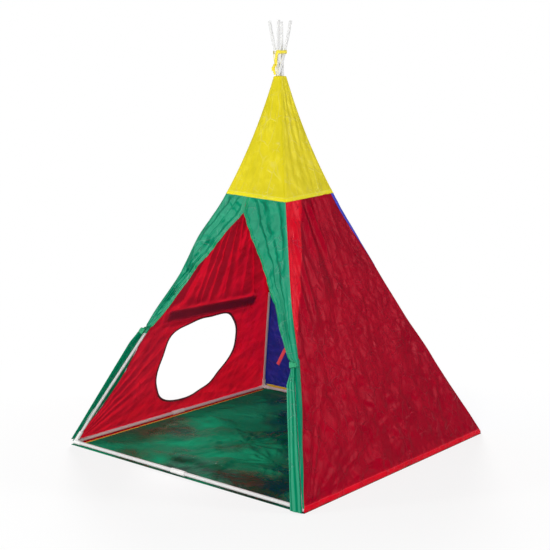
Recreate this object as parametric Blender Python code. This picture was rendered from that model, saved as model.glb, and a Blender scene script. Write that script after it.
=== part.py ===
"""A teepee play tent: a square tube base, four springy poles that cross above it, and a sewn
cover with two tied-back door flaps, a round window and a groundsheet.

Metres, +Z up. The door faces -Y and the window wall is at -X. The origin is on the floor,
under the middle of the base. Heights named below are measured from the axis of the base
tubes, unless they say otherwise.
"""

import math

import bmesh
import bpy
from mathutils import Matrix, Vector

# Base frame
BASE_SIDE = 1.000  # between the axes of opposite base tubes
BASE_TUBE_RADIUS = 0.00625
BASE_TUBE_WALL = 0.0013
SOCKET_WALL = 0.0016
SOCKET_LENGTH = 0.032  # from the corner point to the mouth of a base socket
SOCKET_FLOOR = 0.0075  # from the corner point to where a base tube stops
POLE_SOCKET_LENGTH = 0.042
POLE_SOCKET_FLOOR = 0.0165
HUB_PROUD = 0.0006  # how far a corner's rounded middle stands out past its sockets
COUPLER_LENGTH = 0.060
COUPLER_WEB = 0.0025

# Poles
CROSSING_HEIGHT = 1.263
POLE_TIP_ABOVE_CROSSING = 0.157
POLE_BOW_FOOT = 0.126  # how much the pole leans in beyond a straight line near its foot
POLE_BOW_TOP = 0.371  # and how much the line hollows towards the crossing
POLE_RADIUS = 0.00525
POLE_WALL = 0.00125
POLE_SECTIONS = 3
POLE_STEPS = (5, 7, 10)  # straight steps in each section, more where it bends most
FERRULE_LENGTH = 0.070
CROSSING_EASE_LENGTH = 0.340  # stretch over which the poles step aside to pass each other

# Cover
COVER_THICKNESS = 0.0010
SEAM_HEIGHT = 0.847  # where the walls meet the cap
CAP_TOP_BELOW_CROSSING = 0.023
FOOT_FLARE_HEIGHT = 0.100  # the cover stretches over the corner joints below this
SLEEVE_WALL = 0.0008
SLEEVE_START = 0.445
SLEEVE_END_BELOW_SEAM = 0.020

# Door
DOOR_APEX_HEIGHT = 0.794
DOOR_APEX_X = -0.030
LEFT_TIE_HEIGHT = 0.388
RIGHT_TIE_HEIGHT = 0.368
WAIST_WIDTH = 0.019  # the gathered flap inside its tie
LEFT_WAIST_OUTSET = 0.011  # middle of the waist, outward from the pole's axis
RIGHT_WAIST_OUTSET = 0.004
PLEAT_DEPTH = 0.006
PLEATS = 2
GATHER_LENGTH = 0.200
TIE_BAND_WIDTH = 0.012
TIE_THICKNESS = 0.0008
TIE_ROOM = 0.0010  # slack between the gathered flap and its tie
LEFT_TAIL_HEADING = 240
RIGHT_TAIL_HEADING = 184
LEFT_TAIL_FLOOR_GAP = 0.020
RIGHT_TAIL_FLOOR_GAP = 0.003
TAIL_NECK_RADIUS = 0.0038
TAIL_NECK_SHARE = 0.15  # of the tail's length, over which it widens from its neck
TAIL_LOBES = 5
TAIL_RIPPLE = 0.16

# Window
WINDOW_WIDTH = 0.394
WINDOW_HEIGHT = 0.344
WINDOW_CENTRE_HEIGHT = 0.2205
WINDOW_CENTRE_Y = 0.007
WINDOW_SQUARENESS = 2.35  # 2 is an ellipse, more is squarer
FLAP_SEAM_HEIGHT = 0.438
FLAP_ROLL_LENGTH = 0.462
FLAP_LIP = 0.007
FLAP_ROLL_HEIGHT = 0.036
FLAP_ROLL_DEPTH = 0.024
FLAP_ROLL_TURNS = 2.6
FLAP_CLOTH_THICKNESS = 0.0012
FLAP_TIE_WIDTH = 0.020
FLAP_TIE_OFFSET = 0.130  # each tie's distance from the middle of the roll
FLAP_TIE_WRAP = 0.86  # of a turn round the roll

# Floor
GROUNDSHEET_THICKNESS = 0.0008
BINDING_WIDTH = 0.016
BINDING_THICKNESS = 0.0008

# Small tapes
RIBBON_WIDTH = 0.014
RIBBON_THICKNESS = 0.0012
RIBBON_ABOVE_CROSSING = 0.014
RIBBON_TAIL_LENGTH = 0.026
KNOT_RADIUS = 0.0065
LOOSE_TAPE_WIDTH = 0.012
LOOSE_TAPE_THICKNESS = 0.0010

# Clearances
GAP = 0.0003
TUBE_FIT = 0.00035
SLEEVE_FIT = 0.0005
COVER_FIT = 0.0005
TAIL_FIT = 0.0005

WELD = 0.00004  # points nearer than this are one point

TUBE_SIDES = 16
POLE_SIDES = 12
SOCKET_SIDES = 16
COVER_STEPS = 9  # level rows in the cover between its flared foot and the seam

BASE_HALF = BASE_SIDE / 2
WAIST_STANDOFF = TIE_ROOM + TIE_THICKNESS + 2 * GAP  # a tie passes between flap and wall
POLE_TIP_HEIGHT = CROSSING_HEIGHT + POLE_TIP_ABOVE_CROSSING
CAP_TOP_HEIGHT = CROSSING_HEIGHT - CAP_TOP_BELOW_CROSSING
BASE_BORE = (BASE_TUBE_RADIUS + TUBE_FIT) / math.cos(math.pi / SOCKET_SIDES)
SOCKET_RADIUS = BASE_BORE + SOCKET_WALL
POLE_BORE = (POLE_RADIUS + TUBE_FIT) / math.cos(math.pi / SOCKET_SIDES)
POLE_SOCKET_RADIUS = POLE_BORE + SOCKET_WALL
BASE_AXIS_Z = GROUNDSHEET_THICKNESS + GAP + SOCKET_RADIUS
SLEEVE_BORE = (POLE_RADIUS + SLEEVE_FIT) / math.cos(math.pi / POLE_SIDES)
QUARTER = math.pi / 2

CORNERS = ("front_left", "front_right", "back_right", "back_left")
SIDES = ("front", "right", "back", "left")

WHITE = (0.86, 0.86, 0.85)
RED = (0.45, 0.008, 0.025)
GREEN = (0.010, 0.300, 0.130)
FLOOR_GREEN = (0.008, 0.100, 0.055)
BLUE = (0.018, 0.020, 0.210)
YELLOW = (0.850, 0.690, 0.020)


# Materials and objects


def principled(name, colour, roughness):
    material = bpy.data.materials.new(name)
    material.use_nodes = True
    shader = material.node_tree.nodes["Principled BSDF"]
    shader.inputs["Base Color"].default_value = (*colour, 1.0)
    shader.inputs["Roughness"].default_value = roughness
    shader.inputs["Metallic"].default_value = 0.0
    return material


def add_object(name, mesh, material, turn=0.0, place=(0.0, 0.0, 0.0)):
    if not mesh.materials:
        mesh.materials.append(material)
    thing = bpy.data.objects.new(name, mesh)
    thing.rotation_euler = (0.0, 0.0, turn)
    thing.location = place
    bpy.context.scene.collection.objects.link(thing)
    return thing


def finish_mesh(name, bm, smooth_angle=None):
    mesh = bpy.data.meshes.new(name)
    bm.to_mesh(mesh)
    bm.free()
    if smooth_angle is not None:
        mesh.shade_smooth()
        mesh.set_sharp_from_angle(angle=math.radians(smooth_angle))
    return mesh


def thicken(thing, thickness, direction):
    """Gives a surface its wall, along its normals (1), against them (-1) or both ways (0)."""
    solidify = thing.modifiers.new("wall", "SOLIDIFY")
    solidify.thickness = thickness
    solidify.offset = direction
    solidify.use_even_offset = True
    return solidify


def shaped_grid(columns, rows, place, wrap=False, outside_of=None):
    """A grid whose point (i, j) is moved to place(i, j). Wrapping joins its two long edges."""
    bm = bmesh.new()
    bmesh.ops.create_grid(bm, x_segments=columns, y_segments=rows, size=0.5)
    for vert in bm.verts:
        i = round((vert.co.x + 0.5) * columns)
        j = round((vert.co.y + 0.5) * rows)
        vert.co = place(i % columns if wrap else i, j)
    if wrap:
        bmesh.ops.remove_doubles(bm, verts=bm.verts, dist=1e-6)
    bm.normal_update()
    if outside_of is not None:
        inside = Vector(outside_of)
        facing = sum((f.calc_center_median() - inside).dot(f.normal) * f.calc_area() for f in bm.faces)
        if facing < 0:
            bmesh.ops.reverse_faces(bm, faces=bm.faces)
    return bm


def close_ends(bm):
    open_edges = [edge for edge in bm.edges if edge.is_boundary]
    bmesh.ops.holes_fill(bm, edges=open_edges, sides=0)
    bmesh.ops.recalc_face_normals(bm, faces=bm.faces)
    return bm


def smoothstep(value):
    value = min(1.0, max(0.0, value))
    return value * value * (3.0 - 2.0 * value)


def mix(start, end, share):
    return start + (end - start) * share


def levels(start, end, count):
    return [mix(start, end, step / count) for step in range(count + 1)]


# The line of the poles, shared by the frame and the cover


def pole_spread(height):
    """Half the distance between neighbouring poles at a height; negative past the crossing."""
    share = max(height, 0.0) / CROSSING_HEIGHT
    bow = 1.0 - POLE_BOW_FOOT * share - POLE_BOW_TOP * share * share
    return BASE_HALF * (1.0 - share) * bow


def pole_slope(height):
    step = 0.0005
    return (pole_spread(height + step) - pole_spread(height)) / step


def crossing_ease(height):
    start = CROSSING_HEIGHT - CAP_TOP_BELOW_CROSSING - CROSSING_EASE_LENGTH
    return smoothstep((height - start) / CROSSING_EASE_LENGTH)


def pole_sidestep():
    """How far each pole passes beside the middle, so that neighbours clear each other."""
    lean = math.atan(-pole_slope(CROSSING_HEIGHT) * math.sqrt(2))
    sine, cosine = math.sin(lean), math.cos(lean)
    apart = 2 * POLE_RADIUS + 1.4 * GAP
    return apart * math.sqrt(2 * cosine**2 + sine**2) / (2 * cosine)


SIDESTEP = pole_sidestep()


def pole_point(height):
    """A point on the axis of the front left pole."""
    spread = pole_spread(height)
    aside = SIDESTEP * crossing_ease(height) / math.sqrt(2)
    return Vector((-spread + aside, -spread - aside, BASE_AXIS_Z + height))


def pole_direction(height):
    step = 0.0005
    return (pole_point(height + step) - pole_point(height)).normalized()


def height_at_length(length):
    """Height on the pole at this length along it, from the axis of the base tubes."""
    steps = 2000
    travelled, last = 0.0, pole_point(0.0)
    for step in range(1, steps + 1):
        point = pole_point(POLE_TIP_HEIGHT * step / steps)
        stretch = (point - last).length
        if travelled + stretch >= length:
            return POLE_TIP_HEIGHT * (step - 1 + (length - travelled) / stretch) / steps
        travelled += stretch
        last = point
    return POLE_TIP_HEIGHT


def pole_length():
    heights = levels(0.0, POLE_TIP_HEIGHT, 400)
    points = [pole_point(height) for height in heights]
    return sum((b - a).length for a, b in zip(points, points[1:]))


def steepest_lean():
    slopes = [-pole_slope(height) for height in levels(0.0, CAP_TOP_HEIGHT, 60)]
    return math.atan(max(slopes))


def cover_offset(height):
    """From the plane through two neighbouring poles out to the inner face of the cover."""
    body = (SLEEVE_BORE + SLEEVE_WALL + COVER_FIT) / math.cos(steepest_lean())
    foot = (SOCKET_RADIUS + COVER_FIT) / math.cos(steepest_lean())
    top_lean = math.cos(math.atan(-pole_slope(CAP_TOP_HEIGHT)))
    top = SIDESTEP / math.sqrt(2) + (POLE_RADIUS + COVER_FIT) / top_lean
    flare = max(0.0, 1.0 - max(height, 0.0) / FOOT_FLARE_HEIGHT)
    return body + (foot - body) * flare + (top - body) * crossing_ease(height)


def cover_edge(height):
    """Half the width of a panel's inner face, less the gap at the corner seam."""
    return pole_spread(height) + cover_offset(height) - GAP / math.sqrt(2)


def cover_point(across, height, proud=0.0):
    """A point on the inner face of the front of the cover."""
    away = pole_spread(height) + cover_offset(height) + proud
    return Vector((across, -away, BASE_AXIS_Z + height))


# Frame


def add_swept_tube(name, material, heights, radius, wall, sides, turn):
    """A tube, or with no wall a rod, along the line of the front left pole."""
    side = Vector((1.0, -1.0, 0.0)).normalized()

    def place(i, j):
        angle = 2 * math.pi * i / sides
        up = pole_direction(heights[j])
        across = (side - up * side.dot(up)).normalized()
        out = up.cross(across)
        return pole_point(heights[j]) + (across * math.cos(angle) + out * math.sin(angle)) * radius

    middle = pole_point((heights[0] + heights[-1]) / 2)
    bm = shaped_grid(sides, len(heights) - 1, place, wrap=True, outside_of=middle)
    if wall is None:
        close_ends(bm)
    thing = add_object(name, finish_mesh(name, bm, 50), material, turn)
    if wall is not None:
        thicken(thing, wall, -1)
    return thing


def add_poles(material, inner_material):
    whole = pole_length()
    start = POLE_SOCKET_FLOOR
    cuts = [mix(start, whole, section / POLE_SECTIONS) for section in range(POLE_SECTIONS + 1)]
    names = ("lower", "middle", "upper")
    for corner, corner_name in enumerate(CORNERS):
        turn = corner * QUARTER
        for section in range(POLE_SECTIONS):
            first = height_at_length(cuts[section] + (GAP / 2 if section else 0.0))
            last = height_at_length(cuts[section + 1] - (GAP / 2 if section < POLE_SECTIONS - 1 else 0.0))
            add_swept_tube(
                f"pole_{corner_name}_{names[section]}",
                material,
                levels(first, last, POLE_STEPS[section]),
                POLE_RADIUS,
                POLE_WALL,
                POLE_SIDES,
                turn,
            )
        for joint in range(1, POLE_SECTIONS):
            first = height_at_length(cuts[joint] - FERRULE_LENGTH / 2)
            last = height_at_length(cuts[joint] + FERRULE_LENGTH / 2)
            add_swept_tube(
                f"pole_ferrule_{corner_name}_{names[joint - 1]}",
                inner_material,
                levels(first, last, 3),
                (POLE_RADIUS - POLE_WALL) * math.cos(math.pi / POLE_SIDES) - TUBE_FIT,
                None,
                POLE_SIDES,
                turn,
            )


def add_base_tubes(material):
    start = SOCKET_FLOOR
    end = BASE_HALF - COUPLER_WEB / 2 - GAP
    length = end - start
    middle = BASE_HALF - (start + end) / 2

    def place(i, j):
        angle = 2 * math.pi * i / TUBE_SIDES
        return Vector(
            (
                length * (j - 0.5),
                BASE_TUBE_RADIUS * math.cos(angle),
                BASE_TUBE_RADIUS * math.sin(angle),
            )
        )

    bm = shaped_grid(TUBE_SIDES, 1, place, wrap=True, outside_of=(0.0, 0.0, 0.0))
    mesh = finish_mesh("base_tube", bm, 50)
    half_names = {
        "front": ("left", "right"),
        "right": ("front", "back"),
        "back": ("right", "left"),
        "left": ("back", "front"),
    }
    for side, side_name in enumerate(SIDES):
        turn = side * QUARTER
        for half, direction in enumerate((-1, 1)):
            place_on_side = Vector((direction * middle, -BASE_HALF, BASE_AXIS_Z))
            thing = add_object(
                f"base_tube_{side_name}_{half_names[side_name][half]}",
                mesh,
                material,
                turn,
                Matrix.Rotation(turn, 3, "Z") @ place_on_side,
            )
            thicken(thing, BASE_TUBE_WALL, -1)


def add_base_couplers(material):
    """Turned sleeves that join two half tubes at the middle of each side, with a stop inside."""
    half = COUPLER_LENGTH / 2
    web = COUPLER_WEB / 2
    bm = bmesh.new()
    outline = [
        (web, 0.0),
        (web, BASE_BORE),
        (half, BASE_BORE),
        (half, SOCKET_RADIUS),
        (-half, SOCKET_RADIUS),
        (-half, BASE_BORE),
        (-web, BASE_BORE),
        (-web, 0.0),
    ]
    verts = [bm.verts.new((x, 0.0, z)) for x, z in outline]
    edges = [bm.edges.new(pair) for pair in zip(verts, verts[1:])]
    bmesh.ops.spin(
        bm,
        geom=verts + edges,
        cent=(0.0, 0.0, 0.0),
        axis=(1.0, 0.0, 0.0),
        angle=2 * math.pi,
        steps=SOCKET_SIDES,
        use_merge=True,
    )
    bmesh.ops.remove_doubles(bm, verts=bm.verts, dist=1e-6)
    bmesh.ops.recalc_face_normals(bm, faces=bm.faces)
    mesh = finish_mesh("base_coupler", bm, 50)
    for side, side_name in enumerate(SIDES):
        turn = side * QUARTER
        place = Matrix.Rotation(turn, 3, "Z") @ Vector((0.0, -BASE_HALF, BASE_AXIS_Z))
        add_object(f"base_coupler_{side_name}", mesh, material, turn, place)


def rod_mesh(name, radius, start, end, direction):
    """A plain rod from start to end along a direction out of the corner point."""
    bm = bmesh.new()
    aim = Vector(direction).normalized().to_track_quat("Z", "Y").to_matrix().to_4x4()
    centre = Matrix.Translation(Vector(direction).normalized() * (start + end) / 2)
    bmesh.ops.create_cone(
        bm,
        cap_ends=True,
        segments=SOCKET_SIDES,
        radius1=radius,
        radius2=radius,
        depth=end - start,
        matrix=centre @ aim,
    )
    return finish_mesh(name, bm)


def combine(thing, other_mesh, operation):
    """Joins or cuts with a helper, applies the result, and takes the helper away."""
    helper = bpy.data.objects.new("helper", other_mesh)
    helper.hide_render = True
    helper.display_type = "WIRE"
    helper.location = thing.location
    helper.rotation_euler = thing.rotation_euler
    bpy.context.scene.collection.objects.link(helper)
    boolean = thing.modifiers.new("combine", "BOOLEAN")
    boolean.operation = operation
    boolean.object = helper
    bpy.context.view_layer.update()
    graph = bpy.context.evaluated_depsgraph_get()
    result = bpy.data.meshes.new_from_object(thing.evaluated_get(graph))
    thing.modifiers.clear()
    thing.data = result
    bpy.data.objects.remove(helper)


def weld_slivers(thing):
    """Takes out the needle-thin triangles that are left where cuts and joins meet."""
    bm = bmesh.new()
    bm.from_mesh(thing.data)
    bmesh.ops.triangulate(bm, faces=bm.faces)
    bmesh.ops.remove_doubles(bm, verts=bm.verts, dist=WELD)
    bmesh.ops.dissolve_degenerate(bm, edges=bm.edges, dist=WELD)
    bmesh.ops.triangulate(bm, faces=bm.faces)
    bm.to_mesh(thing.data)
    bm.free()


def add_corner_joints(material):
    """Moulded three-way joints: two level sockets for base tubes and a leaning one for the pole."""
    pole_way = pole_direction(0.0)
    bm = bmesh.new()
    bmesh.ops.create_icosphere(bm, subdivisions=2, radius=SOCKET_RADIUS)
    ball = finish_mesh("corner_joint", bm)
    first = add_object("corner_front_left", ball, material)
    arm_radius = SOCKET_RADIUS - HUB_PROUD
    arms = (
        ("socket_x", (1.0, 0.0, 0.0), arm_radius, SOCKET_LENGTH),
        ("socket_y", (0.0, 1.0, 0.0), arm_radius, SOCKET_LENGTH),
        ("socket_pole", pole_way, POLE_SOCKET_RADIUS, POLE_SOCKET_LENGTH),
    )
    for name, way, radius, length in arms:
        combine(first, rod_mesh(name, radius, 0.0, length, way), "UNION")
    bores = (
        ("bore_x", (1.0, 0.0, 0.0), BASE_BORE, SOCKET_FLOOR - GAP, SOCKET_LENGTH),
        ("bore_y", (0.0, 1.0, 0.0), BASE_BORE, SOCKET_FLOOR - GAP, SOCKET_LENGTH),
        ("bore_pole", pole_way, POLE_BORE, POLE_SOCKET_FLOOR - GAP, POLE_SOCKET_LENGTH),
    )
    for name, way, radius, start, length in bores:
        combine(first, rod_mesh(name, radius, start, length + 0.01, way), "DIFFERENCE")
    weld_slivers(first)
    joint_mesh = first.data
    joint_mesh.shade_smooth()
    joint_mesh.set_sharp_from_angle(angle=math.radians(40))
    corner_point = Vector((-BASE_HALF, -BASE_HALF, BASE_AXIS_Z))
    first.location = corner_point
    for corner in range(1, 4):
        turn = corner * QUARTER
        place = Matrix.Rotation(turn, 3, "Z") @ corner_point
        add_object(f"corner_{CORNERS[corner]}", joint_mesh, material, turn, place)


# Cover


def add_pole_sleeves(materials):
    """Fabric tubes sewn inside the corner seams, through which the poles are threaded."""
    heights = levels(SLEEVE_START, SEAM_HEIGHT - SLEEVE_END_BELOW_SEAM, 6)
    for corner, corner_name in enumerate(CORNERS):
        add_swept_tube(
            f"pole_sleeve_{corner_name}",
            materials[corner_name],
            heights,
            SLEEVE_BORE + SLEEVE_WALL,
            SLEEVE_WALL,
            POLE_SIDES,
            corner * QUARTER,
        )


def add_panel(name, material, heights, columns, left, right, side, proud=None):
    """One cut piece of the cover, between two edges given as functions of the height."""

    def place(i, j):
        height = heights[j]
        share = i / columns
        across = mix(left(height), right(height), share)
        return cover_point(across, height, proud(share, height) if proud else 0.0)

    inside = (0.0, 0.0, BASE_AXIS_Z + heights[0])
    bm = shaped_grid(columns, len(heights) - 1, place, outside_of=inside)
    thing = add_object(name, finish_mesh(name, bm, 40), material, side * QUARTER)
    thicken(thing, COVER_THICKNESS, 1)
    return thing


def cover_levels():
    """Heights of the rows of points that all four sides share, so that their edges match."""
    hem = GROUNDSHEET_THICKNESS + GAP - BASE_AXIS_Z
    foot = levels(0.0, FOOT_FLARE_HEIGHT, 2)
    upper = levels(FOOT_FLARE_HEIGHT, SEAM_HEIGHT - GAP / 2, COVER_STEPS)[1:]
    return sorted([hem, DOOR_APEX_HEIGHT] + foot + upper)


def add_walls(materials):
    heights = cover_levels()
    for side, side_name in ((1, "right"), (2, "back"), (3, "left")):
        wall = add_panel(
            f"{side_name}_wall",
            materials[side_name],
            heights,
            4,
            lambda height: -cover_edge(height),
            cover_edge,
            side,
        )
        if side_name == "left":
            combine(wall, window_cutter(), "DIFFERENCE")
            weld_slivers(wall)


def window_cutter():
    """A block with the window's outline, long enough to go through the leaning wall."""
    points = 48
    bm = bmesh.new()
    bmesh.ops.create_circle(bm, cap_ends=True, segments=points, radius=1.0)
    power = 2.0 / WINDOW_SQUARENESS
    for vert in bm.verts:
        across = math.copysign(abs(vert.co.x) ** power, vert.co.x) * WINDOW_WIDTH / 2
        up = math.copysign(abs(vert.co.y) ** power, vert.co.y) * WINDOW_HEIGHT / 2
        vert.co = Vector((across - WINDOW_CENTRE_Y, -0.1 * BASE_SIDE, up + WINDOW_CENTRE_HEIGHT + BASE_AXIS_Z))
    outline = list(bm.faces)
    swept = bmesh.ops.extrude_face_region(bm, geom=outline)
    moved = [item for item in swept["geom"] if isinstance(item, bmesh.types.BMVert)]
    bmesh.ops.translate(bm, verts=moved, vec=(0.0, -0.6 * BASE_SIDE, 0.0))
    bmesh.ops.recalc_face_normals(bm, faces=bm.faces)
    return finish_mesh("window_cutter", bm)


def add_cap(material):
    """Four tapering panels from the wall seams to the small opening round the crossing poles."""
    heights = levels(SEAM_HEIGHT + GAP / 2, CAP_TOP_HEIGHT, 10)
    for side, side_name in enumerate(SIDES):
        add_panel(
            f"cap_{side_name}",
            material,
            heights,
            2,
            lambda height: -cover_edge(height),
            cover_edge,
            side,
        )


class DoorSide:
    """One half of the door: hand is -1 for the left and 1 for the right."""

    def __init__(self, hand, tie_height, waist_outset):
        self.hand = hand
        self.tie_height = tie_height
        self.gathered_to = tie_height + TIE_BAND_WIDTH / 2 + GAP
        self.waist_outset = waist_outset

    def free(self, height):
        """How little the tie draws the flap in: 0 at the tie, 1 where it lies flat."""
        return smoothstep((height - self.gathered_to) / GATHER_LENGTH)

    def waist(self, height):
        """Middle of the gathered flap, measured across the front from the middle of the tent."""
        return self.hand * (pole_spread(height) + self.waist_outset)

    def outer(self, height):
        pinched = self.waist(height) + self.hand * WAIST_WIDTH / 2
        return mix(pinched, self.hand * cover_edge(height), self.free(height))

    def inner(self, height):
        meeting = DOOR_APEX_X + self.hand * GAP / 2
        if height >= DOOR_APEX_HEIGHT:
            return meeting
        share = max(0.0, (height - self.gathered_to) / (DOOR_APEX_HEIGHT - self.gathered_to))
        pinched = self.waist(min(height, self.gathered_to)) - self.hand * WAIST_WIDTH / 2
        return mix(pinched, meeting, share)

    def middle_line(self, height):
        """A point in the middle of the gathered flap and of everything that hangs from it."""
        proud = WAIST_STANDOFF + (PLEAT_DEPTH + COVER_THICKNESS) / 2
        return cover_point(self.waist(height), height, proud)


def add_door_flap(name, material, side):
    """The flap from the cap's seam down to its tie, pleated where the tie draws it in."""
    start = side.gathered_to
    left, right = (side.outer, side.inner) if side.hand < 0 else (side.inner, side.outer)

    def proud(share, height):
        fade = max(0.0, 1.0 - max(0.0, height - start) / (DOOR_APEX_HEIGHT - start))
        drawn_in = 1.0 - side.free(height)
        wave = 0.5 - 0.5 * math.cos(2 * math.pi * PLEATS * share + drawn_in * QUARTER)
        return PLEAT_DEPTH * fade**1.3 * wave + WAIST_STANDOFF * drawn_in

    shared = [height for height in cover_levels() if height > start + GATHER_LENGTH / 2]
    heights = [side.tie_height - TIE_BAND_WIDTH / 2 + GAP] + levels(start, shared[0], 4) + shared[1:]
    return add_panel(name, material, heights, 8 * PLEATS, left, right, 0, proud)


def add_door_tie(name, material, side):
    """A tape round the gathered flap. It leans with the pole that it is sewn beside."""
    half_long = WAIST_WIDTH / 2 + COVER_THICKNESS + TIE_ROOM
    half_deep = (PLEAT_DEPTH + COVER_THICKNESS) / 2 + TIE_ROOM
    sides = 24
    squareness = 4.0

    def place(i, j):
        height = side.tie_height + TIE_BAND_WIDTH * (j - 0.5)
        angle = 2 * math.pi * (i + 0.5) / sides
        across = math.copysign(abs(math.cos(angle)) ** (2 / squareness), math.cos(angle))
        deep = math.copysign(abs(math.sin(angle)) ** (2 / squareness), math.sin(angle))
        return side.middle_line(height) + Vector((across * half_long, deep * half_deep, 0.0))

    inside = side.middle_line(side.tie_height)
    bm = shaped_grid(sides, 1, place, wrap=True, outside_of=inside)
    thing = add_object(name, finish_mesh(name, bm, 60), material)
    thicken(thing, TIE_THICKNESS, 1)
    return thing


def add_flap_tail(name, material, side, heading, floor_gap, section):
    """The loose, pleated part of a flap below its tie, hanging beside the pole.

    It swings about the line through the middle of the gathers, which is its origin and local
    Z. heading is the plan direction it hangs towards, in degrees, and section(share) gives
    its half width, half depth and how far its middle is from the line, share running upwards.
    """
    foot = side.middle_line(0.0)
    line = side.middle_line(side.tie_height) - foot
    up = line.normalized()
    plan = Vector((math.cos(math.radians(heading)), math.sin(math.radians(heading)), 0.0))
    out = (plan - up * plan.dot(up)).normalized()
    deep = up.cross(out)
    sides, rows = 6 * TAIL_LOBES, 12
    tilt = TAIL_NECK_RADIUS * math.sqrt(1.0 - up.z**2)
    top = line.length - (TIE_BAND_WIDTH / 2 + TAIL_FIT + tilt) / up.z

    def place(i, j):
        share = j / rows
        angle = 2 * math.pi * i / sides
        body = smoothstep((1.0 - share) / TAIL_NECK_SHARE)
        half_wide, half_deep, reach = section(share)
        half_wide = mix(TAIL_NECK_RADIUS, half_wide, body)
        half_deep = mix(TAIL_NECK_RADIUS, half_deep, body)
        ripple = 1.0 + TAIL_RIPPLE * body * math.cos(TAIL_LOBES * angle + 0.6)
        offset = out * (reach * body + half_wide * math.cos(angle) * ripple)
        offset += deep * (half_deep * math.sin(angle) * ripple)
        lowest = (floor_gap - foot.z - offset.z) / up.z
        return offset + up * mix(lowest, top, share)

    bm = close_ends(shaped_grid(sides, rows, place, wrap=True, outside_of=up * line.length / 2))
    return add_object(name, finish_mesh(name, bm, 60), material, 0.0, foot)


def left_tail_section(share):
    half_wide = mix(0.0023, 0.0120, share)
    half_deep = mix(0.0018, 0.0036, share)
    return half_wide, half_deep, half_wide - 0.0034


def right_tail_section(share):
    half_wide = mix(0.0205, 0.0140, share)
    return half_wide, 0.0038, half_wide - 0.0040


# Window flap


FLAP_HINGE_OUT = GAP + FLAP_CLOTH_THICKNESS / 2


def flap_hinge():
    """The line the rolled flap lifts about: its middle, the way down the wall, the way out."""
    lean = math.atan(-pole_slope(FLAP_SEAM_HEIGHT))
    down = Vector((-math.sin(lean), 0.0, -math.cos(lean)))
    out = Vector((-math.cos(lean), 0.0, math.sin(lean)))
    away = pole_spread(FLAP_SEAM_HEIGHT) + cover_offset(FLAP_SEAM_HEIGHT)
    seam = Vector((-away, WINDOW_CENTRE_Y, BASE_AXIS_Z + FLAP_SEAM_HEIGHT))
    return seam + out * (COVER_THICKNESS + FLAP_HINGE_OUT), down, out


def add_flap_piece(name, material, line, middle, length, thickness):
    """Cloth that follows a line of (down, out) steps from the seam, along part of the roll."""
    hinge, down, out = flap_hinge()

    def place(i, j):
        along = Vector((0.0, middle + length * (j - 0.5), 0.0))
        return down * line[i][0] + out * (line[i][1] - FLAP_HINGE_OUT) + along

    bm = shaped_grid(len(line) - 1, 1, place)
    thing = add_object(name, finish_mesh(name, bm, 40), material, 0.0, hinge)
    thicken(thing, thickness, 0)


def roll_line():
    """The rolled flap in section, as (down, out) pairs from its seam to its inner end."""
    tie_room = 2 * GAP + TIE_THICKNESS + FLAP_CLOTH_THICKNESS / 2
    half_high = FLAP_ROLL_HEIGHT / 2
    half_deep = FLAP_ROLL_DEPTH / 2
    centre_down = FLAP_LIP + half_high
    centre_out = tie_room + half_deep
    steps_in_turn = 16
    steps = round(steps_in_turn * FLAP_ROLL_TURNS)
    line = [(0.0, FLAP_HINGE_OUT), (FLAP_LIP / 2, tie_room), (FLAP_LIP, tie_room)]
    for step in range(steps + 1):
        angle = 2 * math.pi * step / steps_in_turn
        size = 1.0 - 0.78 * step / steps
        line.append(
            (
                centre_down + half_high * size * math.sin(angle),
                centre_out - half_deep * size * math.cos(angle),
            )
        )
    return line


def tie_line():
    """A tie in section: from the wall, under the roll, round it and back over its top."""
    half_high = FLAP_ROLL_HEIGHT / 2
    half_deep = FLAP_ROLL_DEPTH / 2
    room = FLAP_CLOTH_THICKNESS / 2 + GAP + TIE_THICKNESS / 2
    centre_down = FLAP_LIP + half_high
    centre_out = 2 * GAP + TIE_THICKNESS + FLAP_CLOTH_THICKNESS / 2 + half_deep
    line = [(FLAP_LIP * 0.8, centre_out - half_deep - room)]
    steps = 15
    for step in range(steps + 1):
        angle = 2 * math.pi * FLAP_TIE_WRAP * step / steps
        line.append(
            (
                centre_down + (half_high + room) * math.sin(angle),
                centre_out - (half_deep + room) * math.cos(angle),
            )
        )
    return line


def add_window_flap(material):
    """The window's cover, rolled up outwards under its seam, and the two tapes that hold it."""
    add_flap_piece("window_flap", material, roll_line(), 0.0, FLAP_ROLL_LENGTH, FLAP_CLOTH_THICKNESS)
    for name, middle in (("window_tie_front", -FLAP_TIE_OFFSET), ("window_tie_back", FLAP_TIE_OFFSET)):
        add_flap_piece(name, material, tie_line(), middle, FLAP_TIE_WIDTH, TIE_THICKNESS)


# Floor


def add_groundsheet(material):
    half = BASE_HALF + cover_offset(0.0) + COVER_THICKNESS
    corner_radius = 0.008
    bm = bmesh.new()
    bmesh.ops.create_cube(bm, size=1.0)
    bmesh.ops.scale(bm, verts=bm.verts, vec=(2 * half, 2 * half, GROUNDSHEET_THICKNESS))
    bmesh.ops.translate(bm, verts=bm.verts, vec=(0.0, 0.0, GROUNDSHEET_THICKNESS / 2))
    upright = [edge for edge in bm.edges if abs(edge.verts[0].co.z - edge.verts[1].co.z) > 1e-5]
    bmesh.ops.bevel(bm, geom=upright, offset=corner_radius, segments=3, profile=0.5, affect="EDGES")
    return add_object("groundsheet", finish_mesh("groundsheet", bm), material)


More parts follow.
